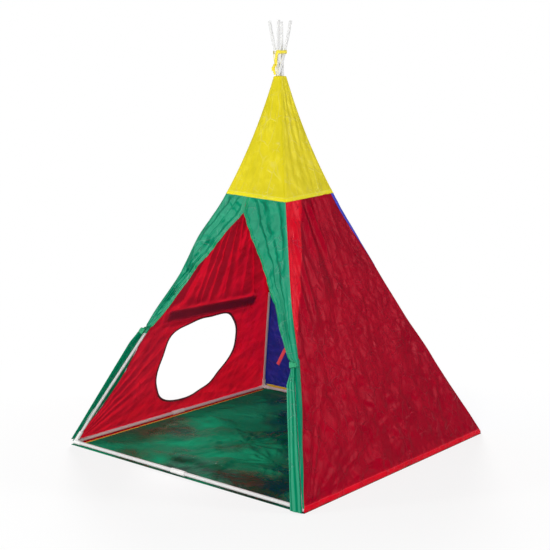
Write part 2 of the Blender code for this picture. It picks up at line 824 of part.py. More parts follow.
def add_groundsheet_binding(material):
    """A folded edge tape on the left, back and right of the groundsheet, inside the tubes."""
    outer = BASE_HALF - SOCKET_RADIUS - GAP
    inner = outer - BINDING_WIDTH
    front = -outer + SOCKET_LENGTH
    outline = [
        (-outer, front),
        (-outer, outer),
        (outer, outer),
        (outer, front),
        (inner, front),
        (inner, inner),
        (-inner, inner),
        (-inner, front),
    ]
    base = GROUNDSHEET_THICKNESS + GAP
    bm = bmesh.new()
    verts = [bm.verts.new((x, y, base)) for x, y in outline]
    quads = ((0, 1, 6, 7), (1, 2, 5, 6), (2, 3, 4, 5))
    faces = [bm.faces.new([verts[index] for index in quad]) for quad in quads]
    raised = bmesh.ops.extrude_face_region(bm, geom=faces)
    moved = [item for item in raised["geom"] if isinstance(item, bmesh.types.BMVert)]
    bmesh.ops.translate(bm, verts=moved, vec=(0.0, 0.0, BINDING_THICKNESS))
    bmesh.ops.recalc_face_normals(bm, faces=bm.faces)
    return add_object("groundsheet_binding", finish_mesh("groundsheet_binding", bm), material)


# Small tapes


def add_top_ribbon(material):
    """A tape round the crossed poles, with its knot and a short end."""
    middle = CROSSING_HEIGHT + RIBBON_ABOVE_CROSSING
    edges = (middle - RIBBON_WIDTH / 2, middle + RIBBON_WIDTH / 2)
    reach = max((pole_point(height).xy.length for height in edges))
    lean = math.cos(math.atan(-pole_slope(middle) * math.sqrt(2)))
    sides = 24
    inner = (reach + POLE_RADIUS / lean + GAP) / math.cos(math.pi / sides)

    def place(i, j):
        angle = 2 * math.pi * i / sides
        height = BASE_AXIS_Z + mix(edges[0], edges[1], j)
        return Vector((inner * math.cos(angle), inner * math.sin(angle), height))

    bm = shaped_grid(sides, 1, place, wrap=True, outside_of=(0.0, 0.0, BASE_AXIS_Z + middle))
    ribbon = add_object("top_ribbon", finish_mesh("top_ribbon", bm), material)
    thicken(ribbon, RIBBON_THICKNESS, 1)
    knot_angle = math.radians(250)
    facing = Vector((math.cos(knot_angle), math.sin(knot_angle), 0.0))
    knot_place = facing * (inner + RIBBON_THICKNESS + KNOT_RADIUS * 0.5)
    knot_place.z = BASE_AXIS_Z + middle
    bm = bmesh.new()
    bmesh.ops.create_uvsphere(bm, u_segments=12, v_segments=8, radius=KNOT_RADIUS)
    bmesh.ops.scale(bm, verts=bm.verts, vec=(1.0, 0.72, 0.9))
    bmesh.ops.rotate(bm, verts=bm.verts, matrix=Matrix.Rotation(knot_angle + QUARTER, 3, "Z"))
    bmesh.ops.translate(bm, verts=bm.verts, vec=knot_place)
    combine(ribbon, finish_mesh("knot", bm), "UNION")
    bm = bmesh.new()
    bmesh.ops.create_cube(bm, size=1.0)
    bmesh.ops.scale(bm, verts=bm.verts, vec=(RIBBON_WIDTH * 0.6, RIBBON_THICKNESS, RIBBON_TAIL_LENGTH))
    bmesh.ops.rotate(bm, verts=bm.verts, matrix=Matrix.Rotation(knot_angle + QUARTER, 3, "Z"))
    bmesh.ops.translate(bm, verts=bm.verts, vec=knot_place - Vector((0.0, 0.0, RIBBON_TAIL_LENGTH / 2)))
    combine(ribbon, finish_mesh("ribbon_end", bm), "UNION")
    return ribbon


def add_loose_tape(material):
    """The free end of the tape that ties back the right flap, hanging inside the tent."""
    top_height = RIGHT_TIE_HEIGHT + 0.048
    spread = pole_spread(top_height)
    lean_room = (POLE_RADIUS + GAP) * 1.12
    top = Vector((spread - lean_room, -spread + 0.001, BASE_AXIS_Z + top_height))
    route = (
        Vector((0.0, 0.0, 0.0)),
        Vector((-0.009, -0.002, -0.006)),
        Vector((-0.018, -0.004, -0.018)),
        Vector((-0.027, -0.006, -0.034)),
        Vector((-0.036, -0.007, -0.051)),
        Vector((-0.045, -0.008, -0.068)),
    )
    width_way = Vector((0.91, 0.0, -0.41)).normalized()

    def place(i, j):
        return top + route[j] + width_way * LOOSE_TAPE_WIDTH * (i - 1.0)

    bm = shaped_grid(1, len(route) - 1, place)
    thing = add_object("right_tie_tail", finish_mesh("right_tie_tail", bm), material)
    thicken(thing, LOOSE_TAPE_THICKNESS, 0)
    return thing


def build():
    for thing in list(bpy.data.objects):
        bpy.data.objects.remove(thing)

    white = principled("white_tube", WHITE, 0.35)
    joint_white = principled("white_joint", WHITE, 0.30)
    grey = principled("ferrule_grey", (0.55, 0.55, 0.54), 0.45)
    red = principled("red_polyester", RED, 0.42)
    green = principled("green_polyester", GREEN, 0.42)
    blue = principled("blue_polyester", BLUE, 0.42)
    yellow = principled("yellow_polyester", YELLOW, 0.42)
    floor_green = principled("green_groundsheet", FLOOR_GREEN, 0.25)

    add_base_tubes(white)
    add_base_couplers(joint_white)
    add_corner_joints(joint_white)
    add_poles(white, grey)

    add_pole_sleeves({"front_left": green, "front_right": red, "back_right": red, "back_left": red})
    add_walls({"right": red, "back": blue, "left": red})
    add_cap(yellow)
    left_side = DoorSide(-1, LEFT_TIE_HEIGHT, LEFT_WAIST_OUTSET)
    right_side = DoorSide(1, RIGHT_TIE_HEIGHT, RIGHT_WAIST_OUTSET)
    add_door_flap("front_flap_left", green, left_side)
    add_door_flap("front_flap_right", green, right_side)
    add_door_tie("left_flap_tie", green, left_side)
    add_door_tie("right_flap_tie", green, right_side)
    add_flap_tail(
        "left_flap_tail", green, left_side, LEFT_TAIL_HEADING, LEFT_TAIL_FLOOR_GAP, left_tail_section
    )
    add_flap_tail(
        "right_flap_tail", green, right_side, RIGHT_TAIL_HEADING, RIGHT_TAIL_FLOOR_GAP, right_tail_section
    )

    add_window_flap(red)
    add_groundsheet(floor_green)
    add_groundsheet_binding(yellow)
    add_top_ribbon(yellow)
    add_loose_tape(red)


build()
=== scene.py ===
"""A child's square teepee tent: white tube frame, taffeta cover, open door, rolled window flap."""

import math

import bmesh
import bpy
import numpy as np
from mathutils import Matrix, Vector


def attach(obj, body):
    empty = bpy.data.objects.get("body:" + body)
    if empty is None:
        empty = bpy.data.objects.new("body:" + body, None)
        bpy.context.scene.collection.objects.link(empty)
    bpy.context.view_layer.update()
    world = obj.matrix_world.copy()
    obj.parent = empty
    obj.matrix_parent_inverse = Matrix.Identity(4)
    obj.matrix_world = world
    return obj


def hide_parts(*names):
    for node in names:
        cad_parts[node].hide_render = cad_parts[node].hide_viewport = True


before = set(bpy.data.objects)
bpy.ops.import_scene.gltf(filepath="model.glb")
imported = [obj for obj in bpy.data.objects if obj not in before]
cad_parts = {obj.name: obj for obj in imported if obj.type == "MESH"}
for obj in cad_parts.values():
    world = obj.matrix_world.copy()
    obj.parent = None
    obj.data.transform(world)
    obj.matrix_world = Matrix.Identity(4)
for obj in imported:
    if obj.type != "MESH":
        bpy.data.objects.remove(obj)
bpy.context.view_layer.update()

# The tent is seen from its right front, a little above eye level of a child.
# Heights are measured from the middle of the base tubes, which lie AXIS_Z above the ground.
AXIS_Z = 0.00943
eye = Vector((2.2833, -2.7676, 1.0891 + AXIS_Z))
looked_at = Vector((0.119, -0.169, 0.600 + AXIS_Z))
camera_data = bpy.data.cameras.new("camera")
camera_data.sensor_width = 36.0
camera_data.lens = 69.3  # fitted to the photo, like the two points above
camera = bpy.data.objects.new("camera", camera_data)
camera.location = eye
camera.rotation_euler = (looked_at - eye).to_track_quat("-Z", "Y").to_euler()
bpy.context.scene.collection.objects.link(camera)
bpy.context.scene.camera = camera


# The studio floor is a wide sheet of matt white paper. It takes the tent's shadow close by
# and goes over into a plain white background further off.
def linear(hex_colour):
    """An sRGB colour such as "c01020" as the linear colour that shaders take."""
    parts = [int(hex_colour[i : i + 2], 16) / 255 for i in (0, 2, 4)]
    return [p / 12.92 if p <= 0.04045 else ((p + 0.055) / 1.055) ** 2.4 for p in parts] + [1.0]


def add_node(tree, kind, inputs=(), out=0, **settings):
    """Adds a node with its settings, each input a value or another node's output.

    Gives one of its outputs back, the first unless another is asked for.
    """
    node = tree.nodes.new("ShaderNode" + kind)
    for name, value in settings.items():
        setattr(node, name, value)
    for name, value in dict(inputs).items():
        if isinstance(value, bpy.types.NodeSocket):
            tree.links.new(value, node.inputs[name])
        else:
            node.inputs[name].default_value = value
    return node.outputs[out]


def new_finish(name):
    """An empty material, its node tree and its output."""
    material = bpy.data.materials.new(name)
    material.use_nodes = True
    material.node_tree.nodes.clear()
    return material, material.node_tree, material.node_tree.nodes.new("ShaderNodeOutputMaterial")


bpy.ops.mesh.primitive_grid_add(x_subdivisions=8, y_subdivisions=8, size=30.0)
floor = bpy.context.object
floor.name = "studio_floor"
paper, tree, output = new_finish("matt_white_paper")
near = add_node(tree, "BsdfPrincipled", {"Base Color": linear("f4f4f4"), "Roughness": 0.9})
far = add_node(tree, "Emission", {"Color": (1.0, 1.0, 1.0, 1.0), "Strength": 1.0})
place = add_node(tree, "TexCoord", out="Object")
from_tent = add_node(tree, "VectorMath", {0: place}, out="Value", operation="LENGTH")
away = add_node(
    tree,
    "MapRange",
    {"Value": from_tent, "From Min": 0.75, "From Max": 1.7, "To Min": 0.76},
    interpolation_type="SMOOTHSTEP",
)
seen = add_node(tree, "LightPath", out="Is Camera Ray")
share = add_node(tree, "Math", {0: away, 1: seen}, operation="MULTIPLY")
mixed = add_node(tree, "MixShader", {0: share, 1: near, 2: far})
tree.links.new(mixed, output.inputs["Surface"])
floor.data.materials.append(paper)

# The light is a bright room with two broad lamps in front, one to the right and two to the
# left, of which the one behind shines through the left wall and rakes across its folds.
world = bpy.data.worlds.new("studio")
bpy.context.scene.world = world
world.use_nodes = True
tree = world.node_tree
tree.nodes.clear()
seen = add_node(tree, "LightPath", out="Is Camera Ray")
let_through = add_node(tree, "LightPath", out="Is Transmission Ray")
plain = add_node(tree, "Math", {0: seen, 1: let_through}, operation="MAXIMUM")
room_light = add_node(tree, "Background", {"Color": (1.0, 1.0, 1.0, 1.0), "Strength": 0.34})
backdrop = add_node(tree, "Background", {"Color": (1.0, 1.0, 1.0, 1.0), "Strength": 1.0})
mixed = add_node(tree, "MixShader", {0: plain, 1: room_light, 2: backdrop})
output = tree.nodes.new("ShaderNodeOutputWorld")
tree.links.new(mixed, output.inputs["Surface"])
for lamp_name, spot, size, power in (
    ("key_lamp", (1.2, -3.9, 2.8), 0.8, 66.0),
    ("right_lamp", (3.3, 2.5, 2.3), 0.7, 56.0),
    ("low_lamp", (2.9, -3.3, 0.9), 0.8, 26.0),
    ("left_lamp", (-2.6, -2.9, 1.9), 0.5, 38.0),
    ("left_back_lamp", (-2.7, 2.9, 2.4), 1.0, 162.0),
):
    lamp_data = bpy.data.lights.new(lamp_name, "AREA")
    lamp_data.size = size
    lamp_data.energy = power
    lamp = bpy.data.objects.new(lamp_name, lamp_data)
    lamp.location = spot
    # The lamp behind is dimmed by the wall, but its mirror image in the floor would not be.
    lamp.visible_glossy = lamp_name != "left_back_lamp"
    to_tent = Vector((0.0, 0.0, 0.5)) - lamp.location
    lamp.rotation_euler = to_tent.to_track_quat("-Z", "Y").to_euler()
    bpy.context.scene.collection.objects.link(lamp)
bpy.context.scene.view_settings.view_transform = "Standard"

# The four bowed poles, in three push-fit sections each, and the base tubes are thin steel
# tubes. They are powder coated white: half gloss, a faint orange peel, scuffed here and there.
coat, tree, output = new_finish("white_powder_coated_steel")
place = add_node(tree, "TexCoord", out="Object")
peel = add_node(tree, "TexNoise", {"Vector": place, "Scale": 900.0, "Detail": 2.0})
dents = add_node(tree, "TexNoise", {"Vector": place, "Scale": 60.0, "Detail": 4.0})
scuffs = add_node(tree, "TexNoise", {"Vector": place, "Scale": 34.0, "Detail": 9.0, "Roughness": 0.72})
marks_and_painted_highlight = add_node(tree, "MapRange", {"Value": scuffs, "From Min": 0.60, "From Max": 0.74, "To Max": 0.55})
colour = add_node(
    tree, "Mix", {"Factor": marks_and_painted_highlight, "A": linear("e4e4e3"), "B": linear("cbc9c2")}, out=2, data_type="RGBA"
)
rough = add_node(
    tree,
    "MapRange",
    {"Value": scuffs, "From Min": 0.35, "From Max": 0.75, "To Min": 0.30, "To Max": 0.52},
)
fine = add_node(tree, "Bump", {"Height": peel, "Strength": 0.10, "Distance": 0.00006})
bumps = add_node(tree, "Bump", {"Height": dents, "Strength": 0.08, "Distance": 0.0004, "Normal": fine})
shader = add_node(
    tree,
    "BsdfPrincipled",
    {
        "Base Color": colour,
        "Roughness": rough,
        "Normal": bumps,
        "IOR": 1.5,
        "Sheen Weight": 0.30,
        "Sheen Roughness": 0.30,
    },
)
tree.links.new(shader, output.inputs["Surface"])


def joined_copy(node, name):
    """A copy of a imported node's mesh with its loose triangles joined up, as a new object."""
    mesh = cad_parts[node].data.copy()
    mesh.name = name
    mesh.materials.clear()
    edit = bmesh.new()
    edit.from_mesh(mesh)
    bmesh.ops.remove_doubles(edit, verts=edit.verts, dist=0.00002)
    edit.to_mesh(mesh)
    edit.free()
    if mesh.has_custom_normals:
        mesh.attributes.remove(mesh.attributes["custom_normal"])
    piece = bpy.data.objects.new(name, mesh)
    bpy.context.scene.collection.objects.link(piece)
    return piece


def apply_modifiers(piece):
    """Turns what the modifiers of a piece do into its mesh."""
    bpy.context.view_layer.objects.active = piece
    for modifier in list(piece.modifiers):
        bpy.ops.object.modifier_apply(modifier=modifier.name)


def dress(piece, finish, body):
    """Gives a piece its finish and its material slot, and hangs it on its body."""
    piece.data.shade_smooth()
    piece.data.materials.append(finish)
    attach(piece, body)


def rounded_tube(node, name, finish):
    """A drawn tube: round at every angle, with crisp cut ends."""
    piece = joined_copy(node, name)
    edit = bmesh.new()
    edit.from_mesh(piece.data)
    bmesh.ops.join_triangles(
        edit, faces=edit.faces, angle_face_threshold=0.7, angle_shape_threshold=3.1, cmp_seam=False
    )
    crease = edit.edges.layers.float.new("crease_edge")
    for edge in edit.edges:
        if len(edge.link_faces) == 2 and edge.calc_face_angle(0.0) > math.radians(50):
            edge[crease] = 0.85
    edit.to_mesh(piece.data)
    edit.free()
    rounding = piece.modifiers.new("rounding", "SUBSURF")
    rounding.levels = rounding.render_levels = 2
    apply_modifiers(piece)
    dress(piece, finish, "tent")
    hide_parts(node)


corners = ("front_left", "front_right", "back_right", "back_left")
for corner in corners:
    for section in ("lower", "middle", "upper"):
        rounded_tube(f"pole_{corner}_{section}", f"steel_pole_{corner}_{section}", coat)
for side in ("front", "back", "left", "right"):
    for end in ("left", "right") if side in ("front", "back") else ("front", "back"):
        rounded_tube(f"base_tube_{side}_{end}", f"steel_base_tube_{side}_{end}", coat)

# Inside each pole joint sits a zinc plated steel ferrule that the next section slides over.
# It is dull bluish grey metal with a fine grain.
zinc, tree, output = new_finish("zinc_plated_steel")
place = add_node(tree, "TexCoord", out="Object")
grain = add_node(tree, "TexNoise", {"Vector": place, "Scale": 260.0, "Detail": 5.0})
colour = add_node(
    tree, "Mix", {"Factor": grain, "A": linear("a7adb3"), "B": linear("d5d9dc")}, out=2, data_type="RGBA"
)
rough = add_node(tree, "MapRange", {"Value": grain, "To Min": 0.28, "To Max": 0.46})
shader = add_node(tree, "BsdfPrincipled", {"Base Color": colour, "Roughness": rough, "Metallic": 1.0})
tree.links.new(shader, output.inputs["Surface"])
for name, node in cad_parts.items():
    if name.startswith("pole_ferrule"):
        node.data.materials.clear()
        node.data.materials.append(zinc)

# The corner pieces and the sleeves in the middle of each side are injection moulded white
# PVC, a little brighter than the tubes, with a spark-eroded satin skin.
moulding, tree, output = new_finish("moulded_white_pvc")
place = add_node(tree, "TexCoord", out="Object")
skin = add_node(tree, "TexNoise", {"Vector": place, "Scale": 1500.0, "Detail": 1.0})
flow = add_node(tree, "TexNoise", {"Vector": place, "Scale": 45.0, "Detail": 3.0, "Distortion": 1.2})
grime = add_node(tree, "MapRange", {"Value": flow, "From Min": 0.55, "From Max": 0.8, "To Max": 0.6})
colour = add_node(
    tree, "Mix", {"Factor": grime, "A": linear("f3f3f1"), "B": linear("dcdad3")}, out=2, data_type="RGBA"
)
rough = add_node(tree, "MapRange", {"Value": flow, "To Min": 0.36, "To Max": 0.50})
bumps = add_node(tree, "Bump", {"Height": skin, "Strength": 0.3, "Distance": 0.00005})
shader = add_node(
    tree, "BsdfPrincipled", {"Base Color": colour, "Roughness": rough, "Normal": bumps, "IOR": 1.53}
)
tree.links.new(shader, output.inputs["Surface"])
for corner in corners:
    node = f"corner_{corner}"
    piece = joined_copy(node, f"moulded_corner_{corner}")
    skinned = piece.modifiers.new("moulded_radii", "REMESH")
    skinned.mode = "VOXEL"
    skinned.voxel_size = 0.0007
    skinned.use_smooth_shade = True
    softened = piece.modifiers.new("softened", "SMOOTH")
    softened.factor = 0.5
    softened.iterations = 3
    apply_modifiers(piece)
    dress(piece, moulding, "tent")
    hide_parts(node)
for side in ("front", "back", "left", "right"):
    rounded_tube(f"base_coupler_{side}", f"moulded_coupler_{side}", moulding)

# The cover is sewn from thin coated polyester: red side walls, a blue back, a green door and a
# yellow cap, pulled tight over the bowed poles and creased all over from being packed.
CROSSING = 1.263  # height where the poles cross
SEAM = 0.847  # height of the seam between the walls and the cap
HEM = -0.0083  # the bottom edge of the walls, on the ground
WALL_TOP = SEAM - 0.0002
CORNER_ROUND = 0.0075  # radius at which the cloth turns round a pole
SEAM_SHIFT = (0.008, -0.009, 0.008, 0.0)  # how far the seam is drawn up or down at each corner
CLOTH = 0.0005  # drawn thicker than the real 0.1 mm


def ease(value):
    """From 0 to 1 with a gentle start and end."""
    value = np.clip(value, 0.0, 1.0)
    return value * value * (3.0 - 2.0 * value)


def between(start, end, share):
    return start + (end - start) * share


def stacked(*parts):
    """Points, or flat places, from their separate coordinates."""
    return np.stack(np.broadcast_arrays(*parts), axis=-1)


def quarter_turns(x, y, turns):
    """Carries x and y round the middle of the tent by whole quarter turns."""
    cosine, sine = ((1, 0), (0, 1), (-1, 0), (0, -1))[turns]
    return x * cosine - y * sine, x * sine + y * cosine


def spread(height):
    """Half the distance between neighbouring poles, which are bowed as in the CAD."""
    share = np.maximum(height, 0.0) / CROSSING
    return 0.5 * (1.0 - share) * (1.0 - 0.126 * share - 0.371 * share**2)


def reach(height):
    """From the middle of the tent out to the inner face of the cover."""
    # It lies 8 mm outside the line of the poles, and further at their foot and their crossing.
    flare = np.clip(1.0 - np.maximum(height, 0.0) / 0.100, 0.0, 1.0)
    crossing = ease((height - 0.900) / 0.340)
    return spread(height) + 0.00801 + 0.00173 * flare + 0.00343 * crossing


def half_width(height):
    """Along the cloth from the middle of a side to the middle of its rounded corner."""
    return reach(height) - CORNER_ROUND + CORNER_ROUND * math.pi / 4


def on_cover(along, height, proud, side):
    """Points of the cover, from where they lie on one of its sides.

    along is the distance from the middle of the side, measured on the cloth, and proud is how
    far the point stands off it. Side 0 is the front, 1 the right, 2 the back and 3 the left.
    """
    # The seam under the cap is drawn down at the front right corner and up at the two beside it.
    share = 0.5 + 0.5 * np.clip(along / half_width(height), -1.0, 1.0)
    shift = between(SEAM_SHIFT[side], SEAM_SHIFT[(side + 1) % 4], share)
    lifted = height + shift * np.exp(-(((height - SEAM) / 0.11) ** 2))
    along = along * half_width(lifted) / half_width(height)
    height = lifted
    flat = reach(height) - CORNER_ROUND
    over = np.maximum(np.abs(along) - flat, 0.0) / CORNER_ROUND
    x = np.minimum(np.abs(along), flat) + (CORNER_ROUND + proud) * np.sin(over)
    x = np.sign(along) * x
    y = -(flat + (CORNER_ROUND + proud) * np.cos(over))
    return stacked(*quarter_turns(x, y, side), height + AXIS_Z)


def drift(x, y, seed):
    """Smooth noise from about -0.7 to 0.7, changing over a distance of one."""
    x, y = np.broadcast_arrays(np.asarray(x, float), np.asarray(y, float))
    x0, y0 = np.floor(x), np.floor(y)

    def pull(i, j):
        # A fixed direction for each whole place, scrambled from it with large odd numbers.
        bits = 0xFFFFFFFF
        number = (x0 + i).astype(np.int64) * 374761393 + (y0 + j).astype(np.int64) * 668265263
        number = (((number & bits) + seed * 974634777) & bits) ^ 0x5BD1E995
        number = ((number ^ (number >> 13)) * 1274126177) & bits
        turn = (number ^ (number >> 16)) / 2.0**32 * 2.0 * math.pi
        return np.cos(turn) * (x - x0 - i) + np.sin(turn) * (y - y0 - j)

    u, v = x - x0, y - y0
    u, v = u**3 * (u * (u * 6 - 15) + 10), v**3 * (v * (v * 6 - 15) + 10)
    return between(between(pull(0, 0), pull(1, 0), u), between(pull(0, 1), pull(1, 1), u), v)


def creases(x, y, size, seed):
    """Sharp folds, up and down, about size metres apart and longer than they are wide."""
    total = 0.0
    for turn, stretch, way in ((1.35, 3.2, 1), (0.35, 2.4, -1), (2.45, 2.8, 1), (1.80, 1.8, -1)):
        long = (x * math.cos(turn) + y * math.sin(turn)) / (size * stretch)
        short = (y * math.cos(turn) - x * math.sin(turn)) / size
        short = short + 0.45 * drift(long * 1.7, short * 0.6, seed + 40)
        total = total + way * (0.25 - np.abs(drift(long, short, seed)))
        seed += 7
    return total


def fans(x, y, x0, y0, folds, seed):
    """Straight folds that spread out from one point, as cloth pulled from there has.

    folds is about how many of them there are to a radian.
    """
    turn = np.arctan2(y - y0, x - x0)
    far = np.hypot(x - x0, y - y0)
    return 0.25 - np.abs(drift(turn * folds, far * 1.3, seed))


def packed_creases(x, y, seed):
    """What folding and stuffing leave in the cloth, in metres."""
    broad = 0.0062 * creases(x, y, 0.110, seed)
    middling = 0.0040 * creases(x, y, 0.048, seed + 100)
    patches = 0.55 + 0.9 * np.abs(drift(x / 0.16, y / 0.16, seed + 300))
    small = 0.0018 * creases(x, y, 0.022, seed + 200) * patches
    return broad + middling + small


def sheet_mesh(
    name, points, flat, edges=None, doubled=0.0, keep=None, closed=False, contrast=1.1, shade=1.0
):
    """A sheet of cloth from rows of points, with its flat places and edge distances as UVs.

    doubled is 1 where the cloth is in two layers, keep says which points the sheet has, and
    closed joins the last column to the first. contrast is how strongly its folds get painted light and
    shade, and shade lowers it with more painted shade.
    """
    rows, columns = points.shape[:2]
    edges = flat if edges is None else edges
    doubled = np.broadcast_to(doubled, (rows, columns))
    turns = columns if closed else columns - 1
    index = np.arange(rows * columns).reshape(rows, columns)
    after = np.roll(index, -1, axis=1)
    quads = stacked(index[:-1], after[:-1], after[1:], index[1:])[:, :turns].reshape(-1, 4)
    if keep is not None:
        quads = quads[keep.ravel()[quads].all(axis=1)]
    used, packed = np.unique(quads, return_inverse=True)
    packed = packed.reshape(-1, 4)
    mesh = bpy.data.meshes.new(name)
    mesh.from_pydata(points.reshape(-1, 3)[used].tolist(), [], packed.tolist())
    corners_of = used[packed].ravel()
    for layer_name, values in (("flat", flat), ("edges", edges)):
        layer = mesh.uv_layers.new(name=layer_name)
        layer.data.foreach_set("uv", values.reshape(-1, 2)[corners_of].astype(np.float32).ravel())
    # How far each spot of a crumpled sheet is turned to the tent's right front: painted light and shade,
    # lighter on the side of each fold that faces there and darker on the other. shade lowers it further.
    down, right = np.gradient(points, axis=(0, 1))
    facing = np.cross(down, right)
    facing = facing / np.maximum(np.linalg.norm(facing, axis=-1, keepdims=True), 1e-12)
    average = facing.mean(axis=(0, 1))
    outwards = np.sign(average @ (points.mean(axis=(0, 1)) * (1.0, 1.0, 0.0) + (0.0, 0.0, 0.05)))
    painted_light = 0.5 + contrast * outwards * ((facing - average) @ np.array((0.45, -0.75, 0.50)))
    painted_light = np.clip(painted_light, 0.0, 1.0) * shade
    for layer_name, values in (("doubled", doubled), ("painted_light", painted_light)):
        layer = mesh.attributes.new(layer_name, "FLOAT", "POINT")
        layer.data.foreach_set("value", values.ravel()[used].astype(np.float32))
    piece = bpy.data.objects.new(name, mesh)
    bpy.context.scene.collection.objects.link(piece)
    return piece


def make_cloth(piece, finish, body, thickness=CLOTH, offset=0.0, pale_inside_reflection=False):
    """Gives a sheet its thickness and finish, and hangs it on its body."""
    count = len(piece.data.vertices)
    thickened = piece.modifiers.new("thickness", "SOLIDIFY")
    thickened.thickness = thickness
    thickened.offset = offset
    apply_modifiers(piece)
    # The coating is on the outside only. The inner side of the cover is marked for a paler colour:
    # partly its own duller colour, partly painted reflection.
    if pale_inside_reflection:
        places = np.empty(len(piece.data.vertices) * 3)
        piece.data.vertices.foreach_get("co", places)
        out = np.hypot(places[0::3], places[1::3])
        outer_first = out[:count].mean() > out[count : 2 * count].mean()
        inner = (np.arange(len(out)) >= count) == outer_first
        layer = piece.data.attributes.new("inside", "FLOAT", "POINT")
        layer.data.foreach_set("value", inner.astype(np.float32))
    dress(piece, finish, body)


def plain_weave(tree, flat, scale, wobble):
    """Threads one over, one under, from two sets of waves that cross."""
    waves = {"Vector": flat, "Scale": scale, "Distortion": wobble}
    warp = add_node(tree, "TexWave", waves, out=1)
    weft = add_node(tree, "TexWave", waves, out=1, bands_direction="Y")
    return add_node(tree, "Math", {0: warp, 1: weft}, operation="ADD")


def pack_lines(tree, flat):
    """The short creases of packing, 15 to 90 mm long, and the crumpled facets between them."""
    creased, crumpled = 0.0, 0.0
    for scale, turn, stretch, patch, wide in (
        (10.0, 0.35, (1.0, 0.60, 1.0), 6.0, 0.030),
        (20.0, 1.25, (1.0, 0.62, 1.0), 11.0, 0.042),
        (38.0, 2.30, (1.0, 0.70, 1.0), 20.0, 0.060),
    ):
        laid = add_node(
            tree,
            "Mapping",
            {
                "Vector": flat,
                "Location": (scale, turn, 0.0),
                "Rotation": (0.0, 0.0, turn),
                "Scale": stretch,
            },
        )
        bent = add_node(tree, "TexNoise", {"Vector": laid, "Scale": scale * 1.4, "Detail": 2.0}, out=1)
        bent = add_node(
            tree,
            "VectorMath",
            {0: bent, 1: (0.30 / scale, 0.30 / scale, 0.0), 2: laid},
            operation="MULTIPLY_ADD",
        )
        border = add_node(
            tree, "TexVoronoi", {"Vector": bent, "Scale": scale}, feature="DISTANCE_TO_EDGE"
        )
        line = add_node(
            tree,
            "MapRange",
            {"Value": border, "From Max": wide, "To Min": 1.0, "To Max": 0.0},
            interpolation_type="SMOOTHSTEP",
        )
        spots = add_node(tree, "TexNoise", {"Vector": laid, "Scale": patch, "Detail": 2.0})
        here = add_node(tree, "MapRange", {"Value": spots, "From Min": 0.53, "From Max": 0.64})
        line = add_node(tree, "Math", {0: line, 1: here}, operation="MULTIPLY")
        creased = add_node(tree, "Math", {0: creased, 1: line}, operation="MAXIMUM")
        facet = add_node(tree, "TexVoronoi", {"Vector": bent, "Scale": scale})
        crumpled = add_node(
            tree, "Math", {0: facet, 1: 1.0 / scale, 2: crumpled}, operation="MULTIPLY_ADD"
        )
    return creased, crumpled


def lock_stitches(tree):
    """Stitches 3 mm long, in a row along each hem."""
    hem = add_node(tree, "UVMap", uv_map="edges")
    from_seam = add_node(tree, "SeparateXYZ", {0: hem}, out="Y")
    from_seam = add_node(tree, "Math", {0: from_seam}, operation="ABSOLUTE")
    row = add_node(
        tree,
        "MapRange",
        {"Value": from_seam, "From Min": 0.0003, "From Max": 0.0008, "To Min": 1.0, "To Max": 0.0},
    )
    dashes = add_node(tree, "TexWave", {"Vector": hem, "Scale": 105.0}, out=1)
    dashes = add_node(tree, "MapRange", {"Value": dashes, "From Min": 0.15, "From Max": 0.30})
    return add_node(tree, "Math", {0: row, 1: dashes}, operation="MULTIPLY")


